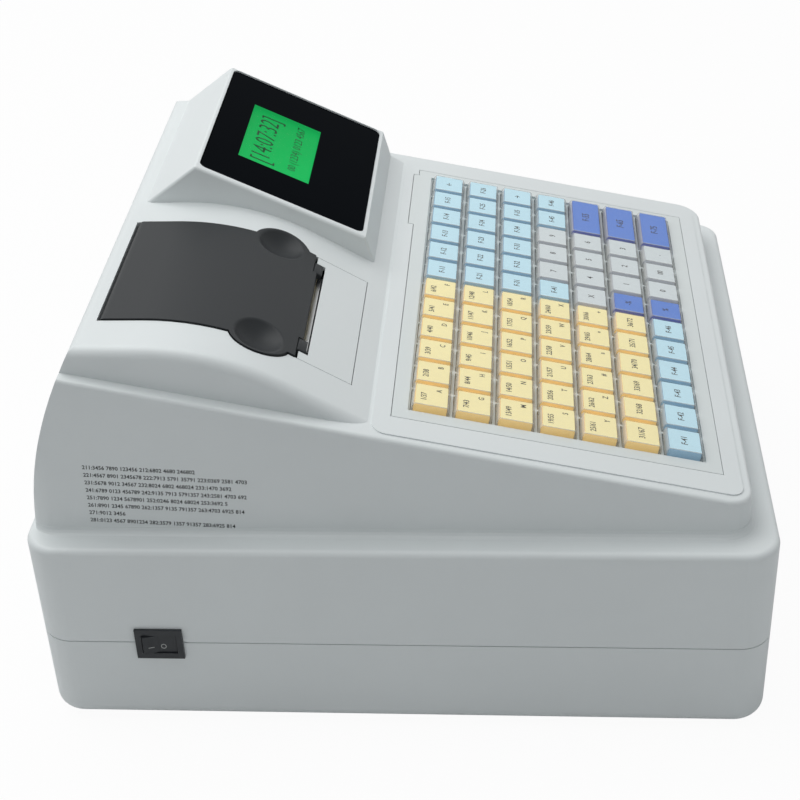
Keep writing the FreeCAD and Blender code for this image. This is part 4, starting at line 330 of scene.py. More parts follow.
@dataclass(frozen=True)
class MouldedPlastic:
    """Injection-moulded plastic with a fine spark-eroded grain and a slight drift of tone."""

    name: str
    colour: Colour
    roughness: float = 0.42
    grain: float = 0.0005
    grain_depth: float = 0.00003
    drift_share: float = 0.04
    specular: float = 0.4
    drift_width: float = 0.06
    sheen_swing: float = 0.14

    def make(self) -> bpy.types.Material:
        """Build the material."""
        sheet = ShaderSheet(self.name)
        drift = sheet.noise(self.drift_width, 3.0)
        speck = sheet.noise(self.grain, 2.0)
        tone = sheet.blend((drift * 0.7 + speck * 0.3).share(), shaded(self.colour, 1 - self.drift_share),
                           shaded(self.colour, 1 + self.drift_share))
        return sheet.dress(Base_Color=tone, Roughness=self.roughness + (speck - 0.5) * self.sheen_swing,
                           Normal=sheet.bump(speck, self.grain_depth), Specular_IOR_Level=self.specular)


@dataclass(frozen=True)
class SoftRubber:
    """Matt rubber with a dusty bloom."""

    name: str
    colour: Colour
    roughness: float = 0.75
    bloom_width: float = 0.004
    bloom_gain: float = 1.7
    grain: float = 0.0006
    grain_depth: float = 0.00004

    def make(self) -> bpy.types.Material:
        """Build the material."""
        sheet = ShaderSheet(self.name)
        bloom = sheet.noise(self.bloom_width, 4.0)
        fine = sheet.noise(self.grain, 2.0)
        tone = sheet.blend(bloom, self.colour, shaded(self.colour, self.bloom_gain))
        return sheet.dress(Base_Color=tone, Roughness=self.roughness + (fine - 0.5) * 0.2,
                           Normal=sheet.bump(fine, self.grain_depth), Specular_IOR_Level=0.25)


@dataclass(frozen=True)
class BrushedMetal:
    """Sheet or turned metal with rolling lines along one axis."""

    name: str
    colour: Colour
    roughness: float = 0.32
    along: Sequence[float] = (0.04, 1.0, 1.0)
    line_width: float = 0.0004
    line_depth: float = 0.00001
    cloud_width: float = 0.02

    def make(self) -> bpy.types.Material:
        """Build the material."""
        sheet = ShaderSheet(self.name)
        lines = sheet.noise(self.line_width, 3.0, self.along)
        cloud = sheet.noise(self.cloud_width, 3.0)
        tone = sheet.blend((lines * 0.6 + cloud * 0.4).share(), shaded(self.colour, 0.86),
                           shaded(self.colour, 1.08))
        return sheet.dress(Base_Color=tone, Roughness=self.roughness + (lines - 0.5) * 0.25,
                           Normal=sheet.bump(lines, self.line_depth), Metallic=1.0)


@dataclass(frozen=True)
class BandedStack:
    """Thin layers side by side, as in laminated iron or wound wire."""

    name: str
    light: Colour
    dark: Colour
    pitch: float
    metallic: float = 0.0
    roughness: float = 0.4

    def make(self) -> bpy.types.Material:
        """Build the material."""
        sheet = ShaderSheet(self.name)
        across = sheet.place()[0]
        wave = (across * (math.tau / self.pitch)).sine() * 0.5 + 0.5
        fine = sheet.noise(0.002, 3.0)
        tone = sheet.blend((wave * 0.8 + fine * 0.2).share(), self.dark, self.light)
        return sheet.dress(Base_Color=tone, Roughness=self.roughness + (fine - 0.5) * 0.2,
                           Normal=sheet.bump(wave, self.pitch * 0.2, 0.6), Metallic=self.metallic)


@dataclass(frozen=True)
class RolledPaper:
    """Receipt paper: fine fibres, and winding lines on the ends of the roll."""

    name: str
    colour: Colour
    axis_place: tuple[float, float] = (0.098, 0.1647)
    sheet_pitch: float = 0.0009
    fibre_width: float = 0.0008
    fibre_depth: float = 0.00002

    def make(self) -> bpy.types.Material:
        """Build the material."""
        sheet = ShaderSheet(self.name)
        _, y, z = sheet.place()
        dy, dz = y - self.axis_place[0], z - self.axis_place[1]
        radius = (dy * dy + dz * dz).root()
        rings = (radius * (math.tau / self.sheet_pitch)).sine() * 0.5 + 0.5
        fibre = sheet.noise(self.fibre_width, 4.0)
        tone = sheet.blend((rings * 0.35 + fibre * 0.65).share(), shaded(self.colour, 0.9), self.colour)
        return sheet.dress(Base_Color=tone, Roughness=0.82 + (fibre - 0.5) * 0.1,
                           Normal=sheet.bump(fibre, self.fibre_depth), Specular_IOR_Level=0.2)


@dataclass(frozen=True)
class BoardLacquer:
    """Green circuit board with tracks under the lacquer and tinned pads."""

    name: str
    colour: Colour
    track: float = 0.0022
    wander_share: float = 0.006
    track_depth: float = 0.00004
    tin: Colour = written(200, 202, 200)

    def make(self) -> bpy.types.Material:
        """Build the material."""
        sheet = ShaderSheet(self.name)
        x, y, _ = sheet.place()
        wander = sheet.noise(0.012, 1.0)
        across = ((x + wander * self.wander_share) * (math.tau / self.track)).sine()
        along = ((y + wander * self.wander_share) * (math.tau / self.track)).sine()
        zone = ((sheet.noise(0.03, 0.0) - 0.5) * 40.0).share()
        tracks = ((across * zone + along * (1.0 - zone)) * 6.0 - 1.5).share()
        pads = ((across.larger(0.0) * along.larger(0.0) - 0.9) * 20.0).share()
        tone = sheet.blend(tracks, self.colour, shaded(self.colour, 1.8))
        tinned = sheet.blend(pads, tone, self.tin)
        return sheet.dress(Base_Color=tinned, Metallic=pads * 0.9, Roughness=0.3 + pads * 0.1,
                           Normal=sheet.bump(tracks, self.track_depth))


@dataclass(frozen=True)
class PrintedLabel:
    """Key label: coloured paper with a faint fibre."""

    name: str
    colour: Colour
    fibre_width: float = 0.0007
    fibre_depth: float = 0.00001
    cloud_width: float = 0.03

    def make(self) -> bpy.types.Material:
        """Build the material."""
        sheet = ShaderSheet(self.name)
        fibre = sheet.noise(self.fibre_width, 3.0)
        cloud = sheet.noise(self.cloud_width, 1.0)
        tone = sheet.blend((fibre * 0.5 + cloud * 0.5).share(), shaded(self.colour, 0.95),
                           shaded(self.colour, 1.04))
        return sheet.dress(Base_Color=tone, Roughness=0.6 + (fibre - 0.5) * 0.1,
                           Normal=sheet.bump(fibre, self.fibre_depth), Specular_IOR_Level=0.2)


@dataclass(frozen=True)
class ClearPlastic:
    """Clear key cap plastic; how much it covers depends on the face, and these per-face tints and covers are
    painted light.
    """

    name: str
    tint: Colour
    cover: float
    roughness: float = 0.12
    cloud_width: float = 0.004

    def make(self) -> bpy.types.Material:
        """Build the material."""
        sheet = ShaderSheet(self.name)
        cloud = sheet.noise(self.cloud_width, 2.0)
        made = sheet.dress(Base_Color=sheet.blend(cloud, shaded(self.tint, 0.94), self.tint),
                           Roughness=self.roughness + (cloud - 0.5) * 0.08,
                           Alpha=(cloud - 0.5) * 0.06 + self.cover, Specular_IOR_Level=0.5)
        made.surface_render_method = "BLENDED"
        return made


@dataclass(frozen=True)
class LabelEdgeWithPaintedGlow:
    """The label's fold seen through the cap's side, with a painted glow: emission in its own tone stands in
    for the light that the clear plastic leads down onto it.
    """

    name: str
    colour: Colour
    glow: float = 0.25
    cloud_width: float = 0.003

    def make(self) -> bpy.types.Material:
        """Build the material."""
        sheet = ShaderSheet(self.name)
        cloud = sheet.noise(self.cloud_width, 2.0)
        tone = sheet.blend(cloud, shaded(self.colour, 0.92), self.colour)
        # The emission is a painted glow; the fold is no lamp.
        return sheet.dress(Base_Color=tone, Emission_Color=tone, Emission_Strength=self.glow,
                           Roughness=0.5 + (cloud - 0.5) * 0.1, Specular_IOR_Level=0.2)


@dataclass(frozen=True)
class PrintInk:
    """Printed ink of uneven blackness."""

    name: str
    colour: Colour
    speck_width: float = 0.0004

    def make(self) -> bpy.types.Material:
        """Build the material."""
        sheet = ShaderSheet(self.name)
        speck = sheet.noise(self.speck_width, 2.0)
        tone = sheet.blend(speck, self.colour, shaded(self.colour, 1.5))
        return sheet.dress(Base_Color=tone, Roughness=0.5 + (speck - 0.5) * 0.2, Specular_IOR_Level=0.2)


@dataclass(frozen=True)
class SlopedFrame:
    """A frame on a surface that leans towards the operator."""

    x: float
    y: float
    z: float
    slope: float

    def matrix(self) -> Matrix:
        """The frame as a matrix in metres: across, up the slope, out of it."""
        turn = Matrix.Rotation(math.radians(self.slope), 4, "X")
        return Matrix.Translation(metres(self.x, self.y, self.z)) @ turn

    def at(self, across: float, up: float, out: float) -> Matrix:
        """A matrix for a piece that lies on the slope, lengths in millimetres."""
        return self.matrix() @ Matrix.Translation(metres(across, up, out))


KEYS = SlopedFrame(0.0, -73.8, 144.1, 12.0)
GLASS = SlopedFrame(71.5, 65.8, 201.4, 25.8)


@dataclass(frozen=True)
class WindowGlass:
    """Clear pane, printed black on its upper face round a window in millimetres."""

    name: str
    frame: SlopedFrame
    window_centre: tuple[float, float]
    window_half: tuple[float, float]
    printed: Colour = written(7, 10, 14)
    print_level: float = -1.4
    crispness: float = 6000.0
    clear_cover: float = 0.04

    def make(self) -> bpy.types.Material:
        """Build the material."""
        sheet = ShaderSheet(self.name)
        x, y, z = sheet.place()
        lean = math.radians(self.frame.slope)
        up = (y - self.frame.y * MM) * math.cos(lean) + (z - self.frame.z * MM) * math.sin(lean)
        out = (z - self.frame.z * MM) * math.cos(lean) - (y - self.frame.y * MM) * math.sin(lean)
        across = abs(x - (self.frame.x + self.window_centre[0]) * MM) - self.window_half[0] * MM
        along = abs(up - self.window_centre[1] * MM) - self.window_half[1] * MM
        edge = across.larger(along)
        upper = ((out - self.print_level * MM) * self.crispness).share()
        ink = (edge * self.crispness + 0.5).share() * upper
        smear = sheet.noise(0.03, 3.0)
        tone = sheet.blend(smear, self.printed, shaded(self.printed, 1.25))
        made = sheet.dress(Base_Color=tone, Alpha=ink * (1 - self.clear_cover) + self.clear_cover,
                           Roughness=0.05 + smear * 0.05, Specular_IOR_Level=0.003)
        made.surface_render_method = "BLENDED"
        return made


@dataclass(frozen=True)
class LitPanel:
    """Backlit liquid crystal panel, brighter towards one side."""

    name: str
    frame: SlopedFrame
    bright: Colour = written(28, 188, 94)
    dim: Colour = written(26, 156, 78)
    cell_width: float = 0.012

    def make(self) -> bpy.types.Material:
        """Build the material."""
        sheet = ShaderSheet(self.name)
        x, y, _ = sheet.place()
        cells = sheet.noise(self.cell_width, 2.0)
        side = ((x - self.frame.x * MM) * -8.0 + (y - self.frame.y * MM) * -6.0 + 0.4 + cells * 0.2).share()
        glow = sheet.blend(side, self.dim, self.bright)
        return sheet.dress(Base_Color=shaded(self.dim, 0.2), Emission_Color=glow, Emission_Strength=1.0,
                           Roughness=0.4 + cells * 0.1, Specular_IOR_Level=0.02)


class Slot(Enum):
    """The record's material slots."""

    CASE = "case_plastic"
    FRAME = "frame_plastic"
    FOOT = "foot_rubber"
    STEEL = "steel"
    TRAY = "tray_steel"
    LOCK = "lock_metal"
    INSERT = "insert_plastic"
    CLIP = "clip_plastic"
    COPPER = "copper"
    DARK = "dark_plastic"
    IRON = "iron"
    PORT = "port_metal"
    PANE = "black_pane"
    GREEN = "display_green"
    MAT = "mat_rubber"
    BOARD = "circuit_board"
    COVER = "cover_plastic"
    GEAR = "gear_plastic"
    PAPER = "paper"
    BUCKET = "bucket_plastic"
    YELLOW = "key_yellow"
    LIGHT_BLUE = "key_light_blue"
    DARK_BLUE = "key_dark_blue"
    WHITE = "key_white"


# Modelling by hand

FACING = 0.9

class Bench:
    """Edit-mode work on one piece at a time."""

    @staticmethod
    def clear() -> None:
        """Deselect everything."""
        if bpy.context.mode != "OBJECT":
            bpy.ops.object.mode_set(mode="OBJECT")
        bpy.ops.object.select_all(action="DESELECT")

    @staticmethod
    def take(piece: bpy.types.Object) -> None:
        """Make one piece the only selected and active one."""
        Bench.clear()
        piece.select_set(True)
        bpy.context.view_layer.objects.active = piece

    @staticmethod
    def block(name: str, low: Sequence[float], high: Sequence[float]) -> bpy.types.Object:
        """A block between two corners, in millimetres.

        Args:
            name: The piece's name.
            low: Its lowest corner.
            high: Its highest corner.

        Returns:
            The piece, its place in its mesh.
        """
        Bench.clear()
        a, b = metres(*low), metres(*high)
        bpy.ops.mesh.primitive_cube_add(size=1.0, location=(a + b) / 2, scale=b - a)
        bpy.ops.object.transform_apply(location=True, rotation=True, scale=True)
        piece = bpy.context.active_object
        piece.name = name
        return piece

    @staticmethod
    def pick(piece: bpy.types.Object, mode: str, test: Callable[[object], bool]) -> None:
        """Enter edit mode and select what passes a test.

        Args:
            piece: The piece.
            mode: FACE or EDGE.
            test: Called with each face or edge.
        """
        if bpy.context.mode != "EDIT_MESH":
            Bench.take(piece)
            bpy.ops.object.mode_set(mode="EDIT")
        bpy.ops.mesh.select_mode(type=mode)
        bpy.ops.mesh.select_all(action="DESELECT")
        mesh = bmesh.from_edit_mesh(piece.data)
        for item in mesh.faces if mode == "FACE" else mesh.edges:
            if test(item):
                item.select_set(True)
        mesh.select_flush_mode()
        bmesh.update_edit_mesh(piece.data)

    @staticmethod
    def close(piece: bpy.types.Object, smooth: float = 35.0) -> bpy.types.Object:
        """Merge doubles, point the faces outwards and shade the piece.

        Args:
            piece: The piece.
            smooth: Edges flatter than this are smooth, in degrees.

        Returns:
            The piece.
        """
        Bench.pick(piece, "FACE", lambda face: True)
        bpy.ops.mesh.remove_doubles(threshold=1e-6)
        bpy.ops.mesh.normals_make_consistent(inside=False)
        bpy.ops.object.mode_set(mode="OBJECT")
        bpy.ops.object.shade_smooth_by_angle(angle=math.radians(smooth))
        return piece

    @staticmethod
    def paint(piece: bpy.types.Object, *finishes: bpy.types.Material) -> bpy.types.Object:
        """Give a piece its materials."""
        piece.data.materials.clear()
        for finish in finishes:
            piece.data.materials.append(finish)
        return piece

    @staticmethod
    def copy(piece: bpy.types.Object, name: str, place: Matrix) -> bpy.types.Object:
        """A copy with its own mesh at another place."""
        twin = piece.copy()
        twin.data = piece.data.copy()
        twin.name = name
        twin.data.transform(place)
        bpy.context.scene.collection.objects.link(twin)
        return twin

    @staticmethod
    def join(pieces: Sequence[bpy.types.Object], name: str) -> bpy.types.Object:
        """Join pieces into one."""
        Bench.clear()
        for piece in pieces:
            piece.select_set(True)
        bpy.context.view_layer.objects.active = pieces[0]
        if len(pieces) > 1:
            bpy.ops.object.join()
        joined = bpy.context.view_layer.objects.active
        joined.name = name
        joined.data.name = name
        return joined

    @staticmethod
    def drop(*pieces: bpy.types.Object) -> None:
        """Remove masters that have been copied."""
        for piece in pieces:
            bpy.data.objects.remove(piece)


FONT_SIZE_PER_CAPITAL = 1.37


@dataclass(frozen=True)
class Lettering:
    """Printed characters as thin mesh on a surface."""

    height: float
    finish: bpy.types.Material
    thick: float = 0.02
    squeeze: float = 1.0
    weight: float = 0.0

    def write(self, body: str, place: Matrix, align: str = "CENTER", width: float = 0.0) -> bpy.types.Object:
        """Write one line.

        Args:
            body: The characters.
            place: The frame to write in: across, up, out.
            align: CENTER, LEFT or RIGHT.
            width: The line's width in millimetres, or nought for its natural one.

        Returns:
            The line as a mesh.
        """
        Bench.clear()
        bpy.ops.object.text_add()
        line = bpy.context.active_object
        line.data.body = body
        line.data.size = self.height * MM * FONT_SIZE_PER_CAPITAL
        line.data.align_x = align
        line.data.align_y = "CENTER"
        line.data.resolution_u = 2
        line.data.extrude = self.thick * MM / 2
        line.data.offset = self.weight * MM
        bpy.ops.object.convert(target="MESH")
        line = bpy.context.active_object
        squeeze = width * MM / line.dimensions.x if width else self.squeeze
        line.data.transform(place @ Matrix.Diagonal((squeeze, 1.0, 1.0, 1.0)))
        return Bench.paint(line, self.finish)


class KeyColour(Enum):
    """The four label colours: slot, label, and how the label shows through the cap's side."""

    YELLOW = (Slot.YELLOW, written(255, 240, 184), written(255, 218, 140))
    LIGHT_BLUE = (Slot.LIGHT_BLUE, written(200, 232, 243), written(143, 180, 204))
    DARK_BLUE = (Slot.DARK_BLUE, written(108, 140, 212), written(86, 97, 170))
    WHITE = (Slot.WHITE, written(214, 221, 222), written(180, 184, 190))


MIDDLE_COLUMN, MIDDLE_ROW = 6.5, 4
LETTERS = "ABCDEFGHIJKLMNOPQRSTUVWXYZ#a*+"
SIGNS = {
    (1, 12): "←", (3, 12): "→", (4, 8): "7", (4, 9): "8", (4, 10): "9", (5, 8): "4", (5, 9): "5",
    (5, 10): "6", (6, 8): "1", (6, 9): "2", (6, 10): "3", (7, 8): "0", (7, 9): "00", (7, 10): ".",
    (5, 7): "X", (6, 7): "-%", (7, 7): "%",
}


@dataclass(frozen=True)
class KeyPlace:
    """One key: its row from the rear, its column from the left and how many places it spans."""

    row: int
    column: int
    span: int = 1

    def centre(self, pitch: float) -> tuple[float, float]:
        """The key's middle on the slope, in millimetres."""
        across = self.column - MIDDLE_COLUMN + (self.span - 1) / 2
        return pitch * across, pitch * (MIDDLE_ROW - self.row)


@dataclass
class KeySet:
    """The keys that one solid of the frame holds."""

    node: str
    body: str
    colour: KeyColour
    places: list[KeyPlace]


def upright(edge: bmesh.types.BMEdge) -> bool:
    """Whether an edge stands on end."""
    start, end = (vertex.co for vertex in edge.verts)
    return abs((start - end).normalized().z) > 0.5


def field_of_places(rows: Sequence[int], columns: Sequence[int]) -> list[KeyPlace]:
    """Every key place of some rows and columns."""
    return [KeyPlace(row, column) for row in rows for column in columns]


@dataclass
class Keyboard:
    """Clear caps over printed labels, one set for each key solid."""

    pitch: float = 20.0
    body: float = 18.0
    top_width: float = 17.2
    top_length: float = 16.4
    rise: float = 3.3
    bevel: float = 1.9
    corner: float = 0.7
    lip: float = 0.35
    skirt: float = 2.1
    label_width: float = 16.4
    label_length: float = 15.1
    label_top: float = 3.0
    label_thick: float = 0.18
    ink_lift: float = 0.03
    core_gap: float = 0.5
    core_lift: float = 0.2
    core_drop: float = 0.3
    core_length: float = 15.6
    level_face: float = 0.995
    steep_face: float = 0.6
    lip_area: float = 6.0
    cap_wall: float = 3.9
    cap_roof: float = 0.3
    core_wall: float = 2.5
    core_roof: float = 0.5
    cap_finishes_painted_light: list[bpy.types.Material] = field(default_factory=list)
    core_finishes: dict[KeyColour, list[bpy.types.Material]] = field(default_factory=dict)
    ink: Optional[bpy.types.Material] = None

    def sets(self) -> list[KeySet]:
        """The key solids of the frame and where their keys are."""
        yellow, pale, deep, white = KeyColour
        left, right = range(1, 7), range(7, 13)
        banks = [
            ("department_keys_rear", yellow, field_of_places((1, 2), left)),
            ("department_keys_middle", yellow, field_of_places((3, 4), left)),
            ("department_keys_front", yellow, field_of_places((5, 6), left)),
            ("function_keys_rear", pale,
             field_of_places((1, 2, 3), right) + field_of_places((4,), (7, 11, 12))),
            ("function_keys_front", pale, field_of_places((7,), left)),
            ("discount_keys", deep, field_of_places((6, 7), (7,))),
        ]
        made = [KeySet(node, f"{node}_body", colour, places) for node, colour, places in banks]
        singles = {"key_7": (4, 8), "key_8": (4, 9), "key_9": (4, 10), "key_4": (5, 8), "key_5": (5, 9),
                   "key_6": (5, 10), "key_1": (6, 8), "key_2": (6, 9), "key_3": (6, 10), "key_0": (7, 8),
                   "key_00": (7, 9), "key_point": (7, 10), "key_quantity": (5, 7)}
        for node, (row, column) in singles.items():
            made.append(KeySet(node, f"{node}_cap", white, [KeyPlace(row, column)]))
        for node, row in (("key_charge", 5), ("key_subtotal", 6), ("key_cash", 7)):
            made.append(KeySet(node, f"{node}_cap", deep, [KeyPlace(row, 11, 2)]))
        return made

    def legends(self, place: KeyPlace) -> list[tuple[str, float, float, float]]:
        """The characters on one label: text, height, and place across and up the label."""
        row, column = place.row, place.column
        if column <= 6 and row <= 6:
            number = (row - 1) * 6 + column
            low = f"{number}/{number + 36}"
            if row == 6:
                return [(low, 3.1, 0.0, 0.3)]
            return [(low, 2.9, -1.6, 3.6), (LETTERS[number - 1], 2.8, 4.6, -3.4)]
        if row == 7 and column <= 6:
            return [(f"F-{40 + column}", 3.2, 0.0, 0.0)]
        if (row, column) in SIGNS:
            return [(SIGNS[(row, column)], 3.4, 0.0, 0.0)]
        return [(f"F-{row}{column - 6}", 4.2 if place.span > 1 else 3.2, 0.0, 0.0)]

    def tapered(self, name: str, base: Sequence[float], top: Sequence[float], levels: Sequence[float],
                corner: float, lip: float) -> bpy.types.Object:
        """A block whose upper part tapers, with rounded corners and edges.

        Args:
            name: The piece's name.
            base: Its width and length below.
            top: Its width and length at the top.
            levels: Foot, shoulder and top.
            corner: Rounding of the upright edges.
            lip: Rounding of the top edges.

        Returns:
            The piece.
        """
        w, d = base[0] / 2, base[1] / 2
        piece = Bench.block(name, (-w, -d, levels[0]), (w, d, levels[1]))
        Bench.pick(piece, "FACE", lambda face: face.normal.z > FACING)
        lift = (levels[2] - levels[1]) * MM
        bpy.ops.mesh.extrude_region_move(TRANSFORM_OT_translate={"value": (0.0, 0.0, lift)})
        bpy.ops.transform.resize(value=(top[0] / base[0], top[1] / base[1], 1.0))
        Bench.pick(piece, "EDGE", upright)
        bpy.ops.mesh.bevel(offset=corner * MM, segments=2, affect="EDGES")
        Bench.pick(piece, "EDGE", lambda edge: all(v.co.z > (levels[2] - 0.001) * MM for v in edge.verts))
        bpy.ops.mesh.bevel(offset=lip * MM, segments=2, affect="EDGES")
        return Bench.close(piece)

    def hollow(self, piece: bpy.types.Object, wall: float, foot: float, roof: float) -> None:
        """Sink a recess in a block's foot, as room for the rubber dome when the key goes down.

        Args:
            piece: The block.
            wall: What stays round the recess.
            foot: The height of the block's foot.
            roof: The height of the recess's roof.
        """
        Bench.pick(piece, "FACE", lambda face: face.normal.z < -FACING)
        bpy.ops.mesh.inset(thickness=wall * MM)
        bpy.ops.mesh.extrude_region_move(TRANSFORM_OT_translate={"value": (0.0, 0.0, (roof - foot) * MM)})
        Bench.close(piece)

    def model_cap(self, span: int) -> bpy.types.Object:
        """The clear cap of a key; its top, sides, lips, and front and back take four finishes, whose tints
        and covers are painted light.
        """
        extra = self.pitch * (span - 1)
        cap = self.tapered(f"cap_master_{span}", (self.body + extra, self.body),
                           (self.top_width + extra, self.top_length),
                           (-self.skirt, self.rise - self.bevel, self.rise), self.corner, self.lip)
        self.hollow(cap, self.cap_wall, -self.skirt, self.cap_roof)
        Bench.paint(cap, *self.cap_finishes_painted_light)
        for face in cap.data.polygons:
            if face.normal.z > self.level_face:
                face.material_index = 0
            elif face.area > self.lip_area * MM * MM and face.normal.z < self.steep_face:
                face.material_index = 1 if abs(face.normal.x) > abs(face.normal.y) else 3
            else:
                face.material_index = 2
        return cap

    def model_core(self, span: int, colour: KeyColour) -> bpy.types.Object:
        """The block under the cap that carries the label."""
        extra = self.pitch * (span - 1)
        foot, shoulder = -self.skirt + self.core_lift, self.rise - self.bevel - self.core_drop
        width = self.body - self.core_gap * 2
        core = self.tapered(f"core_master_{span}_{colour.name}", (width + extra, self.core_length),
                            (self.label_width + 0.1 + extra, self.label_length + 0.1),
                            (foot, shoulder, self.label_top - self.label_thick), self.corner, 0.1)
        self.hollow(core, self.core_wall, foot, self.core_roof)
        return Bench.paint(core, self.core_finishes[colour][1])

    def model_label(self, span: int, colour: KeyColour) -> bpy.types.Object:
        """The printed label, a thin plate with rounded corners."""
        extra = self.pitch * (span - 1)
        w, d = (self.label_width + extra) / 2, self.label_length / 2
        label = Bench.block(f"label_master_{span}_{colour.name}", (-w, -d, self.label_top - self.label_thick),
                            (w, d, self.label_top))
        Bench.pick(label, "EDGE", upright)
        bpy.ops.mesh.bevel(offset=0.5 * MM, segments=3, affect="EDGES")
        return Bench.paint(Bench.close(label), self.core_finishes[colour][0])

    def build(self) -> None:
        """Model each key once and set out the copies."""
        self.ink = PrintInk("legend_ink", written(62, 60, 58)).make()
        # Painted light: one clear plastic in four copies, a lighter, almost clear top and darker tints that
        # cover more on the sides, the lips and the front and back, standing in for the highlights and
        # reflections of the clear plastic.
        self.cap_finishes_painted_light = [
            ClearPlastic("cap_top", written(235, 238, 240), 0.03).make(),
            ClearPlastic("cap_side", written(214, 216, 214), 0.14).make(),
            ClearPlastic("cap_lip", written(214, 216, 214), 0.48).make(),
            ClearPlastic("cap_front", written(206, 208, 204), 0.62).make(),
        ]
        for colour in KeyColour:
            _, label, side = colour.value
            tag = colour.name.lower()
            # Each core's edge finish carries a painted glow in its side colour.
            self.core_finishes[colour] = [PrintedLabel(f"label_{tag}", label).make(),
                                          LabelEdgeWithPaintedGlow(f"core_{tag}", side).make()]
        caps = {span: self.model_cap(span) for span in (1, 2)}
        masters: dict[tuple[int, KeyColour], list[bpy.types.Object]] = {}
        for keys in self.sets():
            span = keys.places[0].span
            if (span, keys.colour) not in masters:
                masters[(span, keys.colour)] = [self.model_core(span, keys.colour),
                                                self.model_label(span, keys.colour)]
            core, label = masters[(span, keys.colour)]
            self.lay_out(keys, caps[span], core, label)
        Bench.drop(*caps.values(), *(piece for pair in masters.values() for piece in pair))

    def lay_out(self, keys: KeySet, cap: bpy.types.Object, core: bpy.types.Object,
                label: bpy.types.Object) -> None:
        """Copy the masters to one set's places and write its legends.

        Args:
            keys: The set.
            cap: The cap's master.
            core: The core's master.
            label: The label's master.
        """
        parts: dict[str, list[bpy.types.Object]] = {"caps": [], "cores": [], "labels": [], "legends": []}
        for place in keys.places:
            across, up = place.centre(self.pitch)
            spot = KEYS.at(across, up, 0.0)
            parts["caps"].append(Bench.copy(cap, "cap", spot))
            parts["cores"].append(Bench.copy(core, "core", spot))
            parts["labels"].append(Bench.copy(label, "label", spot))
            for text, height, dx, dy in self.legends(place):
                letters = Lettering(height, self.ink, 0.04, 0.9, 0.03)
                middle = KEYS.at(across + dx, up + dy, self.label_top + self.ink_lift)
                parts["legends"].append(letters.write(text, middle))
        for kind, pieces in parts.items():
            joined = Bench.join(pieces, f"{keys.node}_{kind}")
            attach(joined, keys.body)
            if kind == "cores":
                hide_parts(keys.node)
        LOG.info("keys %s: %d", keys.node, len(keys.places))


@dataclass
class Display:
    """The lit panel behind the operator's pane, with its characters."""

    centre: tuple[float, float] = (-1.1, 8.2)
    half: tuple[float, float] = (32.6, 19.9)
    depth: float = 2.52
    overlap: float = 4.5
    thick: float = 0.1
    # text, height, weight, place across and up from the panel's middle, width
    lines: tuple[tuple[str, float, float, float, float, float], ...] = (
        ("[14:07:32]", 11.4, -0.1, 1.6, 8.0, 53.0),
        ("00 (1234) 0123 4567", 4.8, -0.02, 4.5, -9.6, 53.0),
    )

    def build(self) -> None:
        """Model the panel's face and write the characters."""
        cx, cy = self.centre
        w, d = self.half[0] + self.overlap, self.half[1] + self.overlap
        face = Bench.block("panel_face", (-w, -d, -self.thick / 2), (w, d, self.thick / 2))
        Bench.pick(face, "FACE", lambda item: item.normal.z > FACING)
        bpy.ops.mesh.inset(thickness=0.6 * MM, depth=-0.02 * MM)
        Bench.close(face)
        face.data.transform(GLASS.at(cx, cy, -self.depth))
        Bench.paint(face, LitPanel("lit_panel", GLASS).make())
        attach(face, "case")
        ink = PrintInk("panel_ink", written(14, 62, 34)).make()
        written_lines = []
        for text, height, weight, dx, dy, width in self.lines:
            spot = GLASS.at(cx + dx, cy + dy, self.thick - self.depth)
            letters = Lettering(height, ink, 0.04, 1.0, weight)
            written_lines.append(letters.write(text, spot, width=width))
        characters = Bench.join(written_lines, "panel_characters")
        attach(characters, "case")
        LOG.info("display panel and characters")


FAR_LEFT = -400.0
INWARD = Vector((1, 0, 0))
LIFT = Matrix.Translation(metres(0.0, 0.0, 0.03))


def surface_frame(node: bpy.types.Object, start: Vector, heading: Vector, across: Vector) -> Matrix:
    """A frame on a solid's surface.

    Args:
        node: The solid.
        start: Where to look from.
        heading: The direction to look in.
        across: The direction that writing runs in.

    Returns:
        The frame: across, up, out of the surface.
    """
    hit, point, normal, _ = node.ray_cast(start, heading)
    if not hit:
        raise ValueError(f"nothing of {node.name} lies that way")
    run = (across - normal * across.dot(normal)).normalized()
    up = normal.cross(run)
    turn = Matrix((run, up, normal)).transposed().to_4x4()
    return Matrix.Translation(point) @ turn


@dataclass
class SidePrint:
    """Eight short lines of plain numbers on the case's left wall."""

    left: float = 143.2
    top: float = 144.4
    step: float = 4.17
    height: float = 2.1
    widths: tuple[float, ...] = (52.0, 75.5, 68.0, 74.7, 65.5, 73.0, 17.0, 68.0)
    digit: float = 1.24
    run: tuple[float, float, float] = (0.0, -1.0, -0.0507)
    first_number: int = 210

    def row(self, index: int, width: float) -> str:
        """The numbers of one line, in groups of unlike lengths.

        Args:
            index: The line, from the top.
            width: How wide it is, in millimetres.

        Returns:
            The line.
        """
        room = int(width / self.digit)
        number, line = self.first_number + index * 10, ""
        while len(line) < room:
            number += 1
            digits = "".join(str((number * place + index) % 10) for place in range(3, 16 + number % 3))
            line += f"{number}:{digits[:4]} {digits[4:8]} {digits[8:]} "
        return line[:room].strip()

    def build(self, wall: bpy.types.Object) -> None:
        """Write the lines on the wall.

        Args:
            wall: The solid that carries them.
        """
        ink = PrintInk("case_ink", written(50, 53, 54)).make()
        lines = []
        for index, width in enumerate(self.widths):
            start = metres(FAR_LEFT, self.left, self.top - index * self.step)
            frame = surface_frame(wall, start, INWARD, Vector(self.run))
            letters = Lettering(self.height, ink, 0.03, 1.0, 0.05)
            lines.append(letters.write(self.row(index, width), frame @ LIFT, "LEFT", width))
        block = Bench.join(lines, "side_print")
        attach(block, "case")
        LOG.info("side print")


